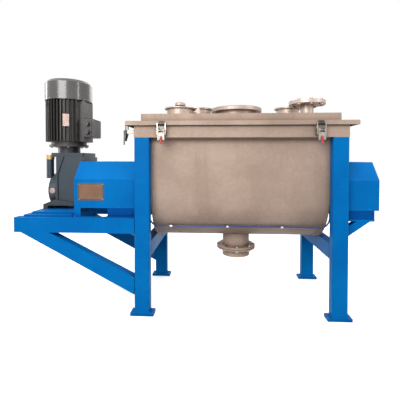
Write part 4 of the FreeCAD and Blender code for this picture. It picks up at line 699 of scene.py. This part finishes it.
def dress(finish: Finish, *nodes: str) -> None:
    """Give CAD nodes a finish."""
    for node in nodes:
        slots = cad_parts[node].material_slots
        for slot in slots:
            slot.material = finish.material()


def circle(middle: Vector, radius: float, count: int, start: float = 0.0, axis: str = "z") -> list[Vector]:
    """Return points round a circle about an axis through its middle.

    Args:
        middle: the circle's middle.
        radius: its radius.
        count: how many points.
        start: the first one's angle in degrees.
        axis: x, y or z.

    Returns:
        The points, in order.
    """
    points = []
    for i in range(count):
        angle = math.radians(start + 360 * i / count)
        a = radius * math.cos(angle)
        b = radius * math.sin(angle)
        offset = {"x": (0, a, b), "y": (a, 0, b), "z": (a, b, 0)}[axis]
        points.append(middle + Vector(offset))
    return points


# -------------------------------------------------------------------------------- sub-assemblies
@dataclass
class Stand:
    """The welded blue frame with its feet, beams and braces."""

    weld_radius: float = 0.0035
    leg_wide: float = 0.1
    joint_half: float = 0.03
    beam_wide: float = 0.065
    cap_thick: float = 0.003
    cap_inset: float = 0.006
    cap_gap: float = 0.0005

    def build(self) -> None:
        """Dress the frame and add its weld beads and beam caps."""
        dress(BLUE_PAINT, "front_legs", "rear_legs", "foot_plates", "cross_beams", "drive_beams",
              "drive_braces", "gearbox_plate", "bearing_shelf", "bearing_platform")
        self.leg_welds()
        self.beam_caps()

    def leg_boxes(self) -> list[tuple[float, float, float, float]]:
        """Return each leg's low and high X and Y."""
        places = []
        for node in ("front_legs", "rear_legs"):
            box = Box.of(node)
            for low in (box.low.x, box.high.x - self.leg_wide):
                places.append((low, low + self.leg_wide, box.low.y, box.high.y))
        return places

    def leg_welds(self) -> None:
        """Lay a bead round each leg where it stands on its plate, and along the cross beams' ends."""
        beads = Piece("stand_weld_beads")
        top = Box.of("foot_plates").high.z
        cross = Box.of("cross_beams")
        for left, right, front, rear in self.leg_boxes():
            around = ((left, front), (right, front), (right, rear), (left, rear))
            beads.weld([Vector((x, y, top)) for x, y in around], self.weld_radius, closed=True)
            inner = rear if front < 0 else front
            middle = (left + right) / 2
            for height in (cross.low.z, cross.high.z):
                ends = [Vector((middle + side * self.joint_half, inner, height)) for side in (-1, 1)]
                beads.weld(ends, self.weld_radius)
        beads.done(BLUE_PAINT, "stand")

    def beam_caps(self) -> None:
        """Close the free ends of the drive beams with pressed caps."""
        caps = Piece("beam_end_caps")
        beams = Box.of("drive_beams")
        inset = self.cap_inset
        for front in (beams.low.y, beams.high.y - self.beam_wide):
            caps.block((beams.low.x + self.cap_gap, front + inset, beams.low.z + inset),
                       (beams.low.x + self.cap_thick, front + self.beam_wide - inset, beams.high.z - inset),
                       round_edges=0.001)
        caps.done(BLUE_PAINT, "stand")


@dataclass
class Guards:
    """The folded sheet guards over the coupling and the far bearing."""

    plate_wide: float = 0.183
    plate_tall: float = 0.120
    plate_left: float = 0.026
    plate_low: float = 0.109
    border_wide: float = 0.011
    border_thick: float = 0.0012
    etched_thick: float = 0.0019
    etched_back: float = 0.0010
    plate_screw_radius: float = 0.0035
    skirt_screw_radius: float = 0.005
    skirt_screw_left: float = 0.814
    skirt_screw_right: float = 0.846
    skirt_screw_z: float = 0.714

    def build(self) -> None:
        """Dress the guards and add the data plate and the screws."""
        dress(BLUE_PAINT, "drive_guard", "bearing_guard")
        # the skirts take the darker blue as painted shade
        dress(SHADED_PAINT, "guard_skirts")
        self.data_plate()
        self.screws()

    def data_plate(self) -> None:
        """Fix a bare etched plate with a raised border to the drive guard's front."""
        guard = Box.of("drive_guard")
        left = guard.low.x + self.plate_left
        low = guard.low.z + self.plate_low
        face = guard.low.y
        right = left + self.plate_wide
        top = low + self.plate_tall
        front = face - self.border_thick
        border = Piece("data_plate_border")
        border.block((left, front, low), (right, face, top), round_edges=0.0005)
        border.done(PLATE_BORDER, "stand")
        rim = self.border_wide
        plate = Piece("data_plate")
        plate.block((left + rim, face - self.etched_thick, low + rim),
                    (right - rim, face - self.etched_back, top - rim), round_edges=0.0004)
        plate.done(BRONZE_PLATE, "stand")
        heads = Piece("data_plate_screws")
        in_x = rim / 2 + 0.004
        in_z = rim / 2 + 0.003
        for x in (left + in_x, right - in_x):
            for z in (low + in_z, top - in_z):
                heads.screw((x, front, z), (0, -1, 0), self.plate_screw_radius)
        heads.done(BOLT_STEEL, "stand")

    def screws(self) -> None:
        """Put the screws that hold the skirts on both sides of each guard."""
        heads = Piece("guard_screws")
        skirts = Box.of("guard_skirts")
        trough = Box.of("trough_shell")
        for x in (trough.middle.x - self.skirt_screw_left, trough.middle.x + self.skirt_screw_right):
            for side, y in ((-1, skirts.low.y), (1, skirts.high.y)):
                heads.screw((x, y, self.skirt_screw_z), (0, side, 0), self.skirt_screw_radius)
        heads.done(BOLT_STEEL, "stand")


@dataclass
class Trough:
    """The U-shaped trough with its rim, seal, outlet and hose clips."""

    weld_radius: float = 0.0025
    weld_sink: float = 0.001
    pipe_radius: float = 0.1005

    def build(self) -> None:
        """Dress the trough and lay its welds."""
        dress(BLASTED_STEEL, "trough_shell", "trough_end_left", "trough_end_right", "rim_band",
              "hinge_rim_leaves", "outlet_pipe", "outlet_spigot", "shaft_seals")
        dress(LATCH_STEEL, "latch_bases")
        dress(WHITE_RUBBER, "rim_seal", "outlet_gasket")
        dress(BOLT_STEEL, "stand_bolts")
        dress(CLIP_STEEL, "hose_clips")
        self.rim_welds()
        self.outlet_weld()

    def rim_welds(self) -> None:
        """Lay beads where the shell meets the rim band and the end plates."""
        beads = Piece("trough_weld_beads")
        shell = Box.of("trough_shell")
        rim = Box.of("rim_band")
        for y in (shell.low.y, shell.high.y):
            ends = [Vector((x, y, rim.low.z - self.weld_sink)) for x in (shell.low.x, shell.high.x)]
            beads.weld(ends, self.weld_radius)
        radius = shell.high.y
        steps = 60
        for x in (shell.low.x, shell.high.x):
            arc = [Vector((x, radius * math.cos(a), AXIS_Z + radius * math.sin(a)))
                   for a in (math.pi + math.pi * i / steps for i in range(steps + 1))]
            path = [Vector((x, -radius, rim.low.z))] + arc + [Vector((x, radius, rim.low.z))]
            beads.weld(path, self.weld_radius)
        beads.done(WELD_STEEL, "stand")

    def outlet_weld(self) -> None:
        """Lay a bead round the outlet pipe where it enters the shell."""
        bead = Piece("outlet_weld_bead")
        shell = Box.of("trough_shell")
        points = []
        for spot in circle(Vector((shell.middle.x, 0, 0)), self.pipe_radius, 72):
            fall = math.sqrt(shell.high.y ** 2 - spot.y ** 2)
            points.append(Vector((spot.x, spot.y, AXIS_Z - fall - self.weld_sink)))
        bead.weld(points, self.weld_radius, closed=True)
        bead.done(WELD_STEEL, "stand")


@dataclass
class AirHose:
    """The air hose that feeds both shaft seals, clipped to the trough's shell."""

    line: float = 0.340
    angle: float = 42.0
    diameter: float = 0.011
    port: float = 0.621
    port_y: float = -0.096
    end: float = 0.591

    def route(self) -> list[Vector]:
        """Return the points of the hose's line, from the drive's end to the far one."""
        middle_x = Box.of("trough_shell").middle.x
        y = -self.line * math.cos(math.radians(self.angle))
        z = AXIS_Z - self.line * math.sin(math.radians(self.angle))
        bow = self.diameter / 6
        port_y = self.port_y
        axis = AXIS_Z
        left = [
            (-self.port, port_y, axis),
            (-self.port, port_y - 0.040, axis),
            (-self.port, port_y - 0.077, axis - 0.015),
            (-self.port, port_y - 0.107, axis - 0.043),
            (-self.port, port_y - 0.130, axis - 0.078),
            (-self.port, port_y - 0.147, axis - 0.116),
            (-self.port + 0.001, port_y - 0.160, axis - 0.156),
            (-self.end - 0.018, y - 0.013, z + 0.035),
            (-self.end + 0.008, y - 0.016, z + 0.008),
            (-self.end + 0.046, y - 0.010, z - 0.001),
            (-0.500, y - 0.001, z - 0.001),
        ]
        middle = [
            (-0.430, y, z),
            (-0.310, y, z - bow),
            (-0.190, y, z - bow / 2),
            (-0.070, y, z + bow / 2),
            (0.055, y, z - bow),
            (0.180, y, z - bow / 2),
            (0.300, y, z + bow / 2),
            (0.410, y, z - bow / 2),
        ]
        right = [(-x, across, up) for x, across, up in reversed(left)]
        return [Vector((x + middle_x, across, up)) for x, across, up in left + middle + right]

    def build(self) -> None:
        """Make the hose as one smooth curve."""
        data = bpy.data.curves.new("air_hose_line", "CURVE")
        data.dimensions = "3D"
        data.bevel_depth = self.diameter / 2
        data.bevel_resolution = 4
        data.resolution_u = 8
        data.use_fill_caps = True
        spline = data.splines.new("NURBS")
        points = self.route()
        spline.points.add(len(points) - 1)
        for made, wanted in zip(spline.points, points):
            made.co = (*wanted, 1.0)
        spline.order_u = 3
        spline.use_endpoint_u = True
        hose = bpy.data.objects.new("blue_air_hose", data)
        bpy.context.scene.collection.objects.link(hose)
        data.materials.append(HOSE_BLUE.material())
        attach(hose, "stand")
        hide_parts("air_hose")


@dataclass
class Lid:
    """The raised lid with its ports, hinges and keepers.

    Each port is given by its X from the trough's middle, its Y and its outer radius.
    """

    ports: tuple[Point, ...] = (
        (-0.425, -0.060, 0.099), (0.0, 0.0, 0.150), (0.490, -0.150, 0.0445), (0.410, 0.095, 0.086),
        (-0.295, 0.150, 0.099),
    )
    weld_radius: float = 0.0025
    weld_out: float = 0.0005
    box_half_x: float = 0.653
    box_half_y: float = 0.350
    box_foot: float = 0.028
    foot_bead: float = 0.0018
    corner_bead: float = 0.0012
    seam_off: float = 0.345
    seam_bead: float = 0.0008

    def build(self) -> None:
        """Dress the lid and lay its welds."""
        dress(BLASTED_STEEL, "lid_panel", "hinge_lid_leaves")
        dress(PORT_STEEL, "port_tubes", "flanged_necks", "manway_cover", "vent_blind", "rear_port_caps",
              "feed_hinge", "feed_cover")
        dress(KEEPER_AND_SHADE_STEEL, "latch_keepers")
        dress(BOLT_STEEL, "vent_bolts")
        self.port_welds()
        self.box_seams()

    def port_welds(self) -> None:
        """Lay a bead round each port at the lid's top."""
        beads = Piece("port_weld_beads")
        top = Box.of("lid_panel").high.z
        middle = Box.of("trough_shell").middle.x
        for x, y, radius in self.ports:
            points = circle(Vector((middle + x, y, top + self.weld_out)), radius + self.weld_out, 64)
            beads.weld(points, self.weld_radius, closed=True)
        beads.done(WELD_STEEL, "lid")

    def box_seams(self) -> None:
        """Mark the welded corners of the raised box and the seam across its front."""
        seams = Piece("lid_seams")
        box = Box.of("lid_panel")
        middle = Box.of("trough_shell").middle.x
        low = box.low.z + self.box_foot
        left = middle - self.box_half_x
        right = middle + self.box_half_x
        rear = self.box_half_y
        for x in (left, right):
            for y in (-rear, rear):
                seams.weld([Vector((x, y, low)), Vector((x, y, box.high.z))], self.corner_bead)
        seam_x = middle + self.seam_off
        seams.weld([Vector((seam_x, -rear, low)), Vector((seam_x, -rear, box.high.z))], self.seam_bead)
        foot = [Vector((x, y, low)) for x, y in ((left, -rear), (right, -rear), (right, rear), (left, rear))]
        seams.weld(foot, self.foot_bead, closed=True)
        seams.done(WELD_STEEL, "lid")


class Place(Enum):
    """The three toggle latches, with the way in which each one faces."""

    FRONT_LEFT = ("front_left", (0, -1, 0))
    FRONT_RIGHT = ("front_right", (0, -1, 0))
    END = ("end", (-1, 0, 0))

    def __init__(self, label: str, facing: Point) -> None:
        """Keep the latch's label and the way in which it faces."""
        self.label = label
        self.facing = facing

    @property
    def lever(self) -> str:
        """The CAD node of the latch's lever, and the body that it turns with."""
        return f"latch_lever_{self.label}"


@dataclass(frozen=True)
class Seat:
    """Where a lever is pinned, with the ways out from the machine and across the latch."""

    pin: Vector
    out: Vector
    across: Vector

    def spot(self, side: float, depth: float, up: float) -> Vector:
        """Return a place by its distances from the pin: sideways, outwards and up."""
        return self.pin + self.across * side + self.out * depth + Vector((0, 0, up))


@dataclass
class Latches:
    """The toggle latches with their moulded grips."""

    # the end latch's black grip is painted shade
    grips: dict[Place, Finish] = field(default_factory=lambda: {
        Place.FRONT_LEFT: RED_GRIP, Place.FRONT_RIGHT: RED_GRIP, Place.END: END_GRIP_PAINTED_SHADE,
    })
    pin_z: float = 1.222
    pin_in: float = 0.019
    cheek_thick: float = 0.004
    web_thick: float = 0.003
    web_out: float = 0.009
    grip_tall: float = 0.050
    grip_wide: float = 0.0112
    grip_deep: float = 0.0036
    grip_out: float = 0.0153
    grip_gap: float = 0.0002

    def build(self) -> None:
        """Dress each latch's bail, bend its lever and slip the grip on."""
        for place in Place:
            # the end latch's bail and lever take the dark keeper steel as painted shade
            steel = KEEPER_AND_SHADE_STEEL if place is Place.END else LATCH_STEEL
            dress(steel, f"latch_bail_{place.label}")
            seat = self.seat(place)
            self.lever(place, seat, steel)
            self.grip(place, seat)

    def seat(self, place: Place) -> Seat:
        """Return where a latch's lever is pinned."""
        box = Box.of(place.lever)
        out = Vector(place.facing)
        face = max(box.low.dot(out), box.high.dot(out))
        middle = Vector((box.middle.x, box.middle.y, 0))
        front = middle + out * (face - middle.dot(out))
        pin = front - out * self.pin_in + Vector((0, 0, self.pin_z))
        return Seat(pin, out, Vector((0, 0, 1)).cross(out))

    def lever(self, place: Place, seat: Seat, steel: Finish) -> None:
        """Bend the lever from sheet: two cheeks with a web between them.

        Args:
            place: the latch.
            seat: where its lever is pinned.
            steel: the lever's finish, dark as painted shade on the end latch.
        """
        up = (0, 0, 1)
        sheet = Piece(f"{place.lever}_sheet")
        cheek = ((-0.008, 0.0), (-0.0075, 0.006), (-0.003, 0.008), (0.012, 0.008), (0.012, -0.062),
                 (0.004, -0.062), (-0.008, -0.018))
        for side in (-0.022, 0.018):
            sheet.extruded(cheek, seat.spot(side, 0, 0), tuple(seat.out), up, -self.cheek_thick)
        web = ((-0.018, -0.062), (0.018, -0.062), (0.018, -0.019), (0.009, -0.014), (-0.009, -0.014),
               (-0.018, -0.019))
        sheet.extruded(web, seat.spot(0, self.web_out, 0), tuple(seat.across), up, -self.web_thick)
        made = sheet.done(steel, place.lever, sharp=50.0)
        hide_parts(place.lever)

    def grip(self, place: Place, seat: Seat) -> None:
        """Dip the lever's end in a plastic grip shaped like a drop, with shallow ridges.

        Args:
            place: the latch.
            seat: where its lever is pinned.
        """
        low = Box.of(place.lever).low.z - self.pin_z + self.grip_gap
        drop = Piece(f"latch_grip_{place.label}")
        rows = 14
        sides = 16
        rings = []
        for i in range(rows + 1):
            share = i / rows
            up = low + (self.grip_tall - self.grip_gap) * share
            wide = self.grip_wide * math.sin(math.pi * min(1.0, 0.16 + share * 0.5)) * (1.0 - 0.42 * share)
            wide *= 1.0 + 0.05 * math.cos(share * rows * math.pi)
            deep = self.grip_deep * (1.0 - 0.3 * share)
            turns = [2 * math.pi * j / sides for j in range(sides)]
            spots = [seat.spot(wide * math.cos(turn), self.grip_out + deep * math.sin(turn), up)
                     for turn in turns]
            rings.append([drop.mesh.verts.new(spot) for spot in spots])
        drop.skin(rings)
        drop.done(self.grips[place], place.lever, sharp=60.0)


@dataclass
class Agitator:
    """The double ribbon agitator with its coupling and the output shaft."""

    def build(self) -> None:
        """Dress the turning pieces and the bearings that they turn in."""
        dress(GROUND_STEEL, "main_shaft", "outer_ribbons", "inner_ribbons", "ribbon_arms", "gearbox_output")
        dress(BLACK_IRON, "coupling_hubs", "shaft_bearings")
        dress(SPIDER_RUBBER, "coupling_spider")


@dataclass
class Gearbox:
    """The cast gearbox with its cover bolts and its bare oval plate."""

    cover_circle: float = 0.100
    cover_bolt: float = 0.0065
    flange_circle: float = 0.128
    flange_bolt: float = 0.008
    plate_place: Point = (-1.085, -0.126, 0.80)
    plate_radius: float = 0.021

    def build(self) -> None:
        """Dress the castings and add the bolts and the bare plate."""
        dress(GEARBOX_PAINT, "gearbox_housing", "gearbox_end_cover", "motor_adapter")
        dress(BRASS, "gearbox_breather")
        self.cover_bolts()
        self.oval_plate()

    def cover_bolts(self) -> None:
        """Bolt the end cover to the drum and the motor's flange to the adapter."""
        cover = Box.of("gearbox_end_cover")
        bolts = Piece("gearbox_bolts")
        for point in circle(Vector((cover.high.x, 0, AXIS_Z)), self.cover_circle, 8, 22.5, "x"):
            bolts.bolt(point, (-1, 0, 0), self.cover_bolt)
        flange = Box.of("motor_body")
        middle = Vector((flange.low.x + MOTOR_RADIUS, 0, flange.low.z))
        for point in circle(middle, self.flange_circle, 8, 22.5):
            bolts.bolt(point, (0, 0, -1), self.flange_bolt)
        bolts.done(BOLT_STEEL, "stand")

    def oval_plate(self) -> None:
        """Fix a bare round plate with a bevelled edge to the casting's front."""
        oval = Piece("gearbox_oval_plate")
        edge = self.plate_radius
        oval.turned(((0, 0), (edge, 0), (edge, 0.0008), (edge - 0.0015, 0.0013), (0, 0.0013)),
                    self.plate_place, (0, -1, 0), 40)
        oval.done(PALE_PLATE, "stand")


@dataclass
class Motor:
    """The upright motor with its cowl, terminal box and rating plate."""

    plate_turn: float = -72.0
    plate_radius: float = 0.1695
    plate_thick: float = 0.0012
    plate_z: float = 1.327
    plate_half_wide: float = 0.022
    plate_half_tall: float = 0.045
    rivet_in: float = 0.004
    rivet_radius: float = 0.0022
    cowl_screw: float = 0.0045
    cover_screw: float = 0.004

    def build(self) -> None:
        """Dress the motor and add its small pieces."""
        dress(MOTOR_PAINT, "motor_body", "terminal_box")
        dress(COWL_PAINT, "fan_cowl")
        dress(FAN_PLASTIC, "motor_fan")
        dress(GROUND_STEEL, "motor_shaft")
        self.rating_plate()
        self.cowl_screws()

    def rating_plate(self) -> None:
        """Fix a small bare plate over the fins, turned to face the fins' run."""
        body = Box.of("motor_body")
        middle = Vector((body.low.x + MOTOR_RADIUS, 0, 0))
        angle = math.radians(self.plate_turn)
        out = Vector((math.cos(angle), math.sin(angle), 0))
        across = Vector((-out.y, out.x, 0))
        plate = Piece("motor_rating_plate")
        wide = self.plate_half_wide
        tall = self.plate_half_tall
        place = middle + out * (self.plate_radius - self.plate_thick) + Vector((0, 0, self.plate_z))
        plate.extruded(((-wide, -tall), (wide, -tall), (wide, tall), (-wide, tall)), place, across,
                       (0, 0, 1), self.plate_thick)
        plate.done(PALE_PLATE, "stand")
        heads = Piece("motor_plate_rivets")
        for a in (self.rivet_in - wide, wide - self.rivet_in):
            for b in (self.rivet_in - tall, tall - self.rivet_in):
                spot = place + across * a + Vector((0, 0, b)) + out * 0.001
                heads.screw(spot, out, self.rivet_radius)
        heads.done(BOLT_STEEL, "stand")

    def cowl_screws(self) -> None:
        """Screw the cowl to the motor's end shield, and the cover to the terminal box."""
        cowl = Box.of("fan_cowl")
        middle = cowl.middle
        radius = cowl.size.y / 2
        heads = Piece("cowl_screws")
        for i in range(4):
            angle = math.radians(45 + 90 * i + 20)
            out = Vector((math.cos(angle), math.sin(angle), 0))
            spot = Vector((middle.x, 0, cowl.low.z + 0.007)) + out * (radius - 0.0004)
            heads.screw(spot, out, self.cowl_screw)
        box = Box.of("terminal_box")
        for y in (box.low.y + 0.034, box.high.y - 0.012):
            for z in (box.low.z + 0.013, box.high.z - 0.013):
                heads.screw((box.high.x - 0.0006, y, z), (1, 0, 0), self.cover_screw)
        heads.done(BOLT_STEEL, "stand")


# --------------------------------------------------------------------------------------- studio
@dataclass
class Studio:
    """The camera, the soft lamps and the pale floor."""

    camera_place: Point = (0.156, -2.3957, 1.0341)
    yaw: float = 3.14
    pitch: float = -1.09
    roll: float = -0.09
    lens: float = 27.86
    shift_y: float = -0.0858
    sky: tuple[float, float] = (0.14, 0.95)
    floor_bounce: float = 0.16

    def build(self) -> None:
        """Set the camera, the lamps, the world and the floor."""
        self.camera()
        self.lamps()
        self.world()
        self.floor()
        bpy.context.scene.view_settings.view_transform = "Standard"

    def camera(self) -> None:
        """Make the camera at the machine's front, a little left of the trough's middle."""
        data = bpy.data.cameras.new("front_camera")
        data.sensor_width = 36.0
        data.lens = self.lens
        data.shift_y = self.shift_y
        camera = bpy.data.objects.new("front_camera", data)
        camera.location = self.camera_place
        angles = (90 + self.pitch, self.roll, self.yaw)
        camera.rotation_euler = [math.radians(angle) for angle in angles]
        bpy.context.scene.collection.objects.link(camera)
        bpy.context.scene.camera = camera

    def lamp(self, name: str, place: Point, aim: Point, size: tuple[float, float], power: float) -> None:
        """Hang one soft lamp that points at a place."""
        data = bpy.data.lights.new(name, "AREA")
        data.shape = "RECTANGLE"
        data.size, data.size_y = size
        data.energy = power
        lamp = bpy.data.objects.new(name, data)
        lamp.location = place
        lamp.rotation_euler = (Vector(aim) - Vector(place)).to_track_quat("-Z", "Y").to_euler()
        bpy.context.scene.collection.objects.link(lamp)

    def lamps(self) -> None:
        """Hang a broad lamp at the front left, one behind and a narrow strip at each side."""
        self.lamp("key_lamp", (-1.3, -3.7, 2.7), (0.1, 0.0, 1.0), (2.6, 1.8), 125.0)
        self.lamp("rear_lamp", (0.5, 3.2, 3.2), (0.0, 0.0, 1.0), (2.4, 2.4), 30.0)
        self.lamp("left_strip", (-3.5, 0.55, 1.6), (-1.0, 0.0, 1.5), (0.5, 1.8), 20.0)
        self.lamp("right_strip", (2.7, -1.4, 1.9), (-1.0, 0.0, 1.5), (0.14, 1.6), 14.0)

    def seen(self, graph: Graph) -> bpy.types.NodeSocket:
        """Return 1 where the camera or a glossy surface sees a place, and 0 for all other light."""
        rays = graph.node("LightPath").outputs
        return graph.math("MAXIMUM", rays["Is Camera Ray"], rays["Is Glossy Ray"])

    def world(self) -> None:
        """Light the room evenly and show it white."""
        world = bpy.data.worlds.new("studio_room")
        world.use_nodes = True
        world.node_tree.nodes.clear()
        graph = Graph(world.node_tree)
        height = graph.node("SeparateXYZ", {0: graph.node("TexCoord").outputs["Generated"]}).outputs["Z"]
        ramp = {"Value": height, "From Min": -0.3, "From Max": 0.6,
                "To Min": self.sky[0], "To Max": self.sky[1]}
        strength = graph.node("MapRange", ramp, interpolation_type="SMOOTHSTEP").outputs[0]
        soft = graph.node("Background", {"Color": (1.0, 1.0, 1.0), "Strength": strength}).outputs[0]
        white = graph.node("Background", {"Color": (1.0, 1.0, 1.0), "Strength": 1.0}).outputs[0]
        through = graph.node("LightPath").outputs["Is Transmission Ray"]
        seen = graph.math("MAXIMUM", self.seen(graph), through)
        shown = graph.node("MixShader", {0: seen, 1: soft, 2: white}).outputs[0]
        graph.node("OutputWorld", {"Surface": shown})
        bpy.context.scene.world = world

    def floor(self) -> None:
        """Lay a pale floor that fades into the room."""
        data = bpy.data.meshes.new("studio_floor")
        half = 14.0
        data.from_pydata([(-half, -half, 0), (half, -half, 0), (half, half, 0), (-half, half, 0)], [],
                         [(0, 1, 2, 3)])
        floor = bpy.data.objects.new("studio_floor", data)
        bpy.context.scene.collection.objects.link(floor)
        material = bpy.data.materials.new("studio_floor")
        material.use_nodes = True
        material.node_tree.nodes.clear()
        graph = Graph(material.node_tree)
        place = graph.node("TexCoord").outputs["Object"]
        cloud = graph.noise(place, 1.2, 2.0)
        pale = graph.mix(cloud, (0.9, 0.9, 0.9), (0.94, 0.94, 0.94))
        seen = self.seen(graph)
        colour = graph.mix(seen, (self.floor_bounce,) * 3, pale)
        shader = graph.node("BsdfPrincipled", {"Base Color": colour, "Roughness": 0.7,
                                               "Emission Color": (1.0, 1.0, 1.0),
                                               "Emission Strength": graph.math("MULTIPLY", seen, 0.5)})
        graph.node("OutputMaterial", {"Surface": shader.outputs[0]})
        data.materials.append(material)


def clear_start_objects() -> None:
    """Delete the cube, lamp and camera that a new file holds."""
    for name in ("Cube", "Light", "Camera"):
        found = bpy.data.objects.get(name)
        if found:
            bpy.data.objects.remove(found)


def main() -> None:
    """Dress the machine, part by part, and set it in the studio."""
    logging.basicConfig(level=logging.INFO, format="%(message)s")
    clear_start_objects()
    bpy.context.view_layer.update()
    for part in (Studio(), AirHose(), Stand(), Guards(), Trough(), Lid(), Latches(), Agitator(), Gearbox(),
                 Motor()):
        part.build()
        log.info("%s is built", type(part).__name__)


if __name__ == "__main__":
    main()
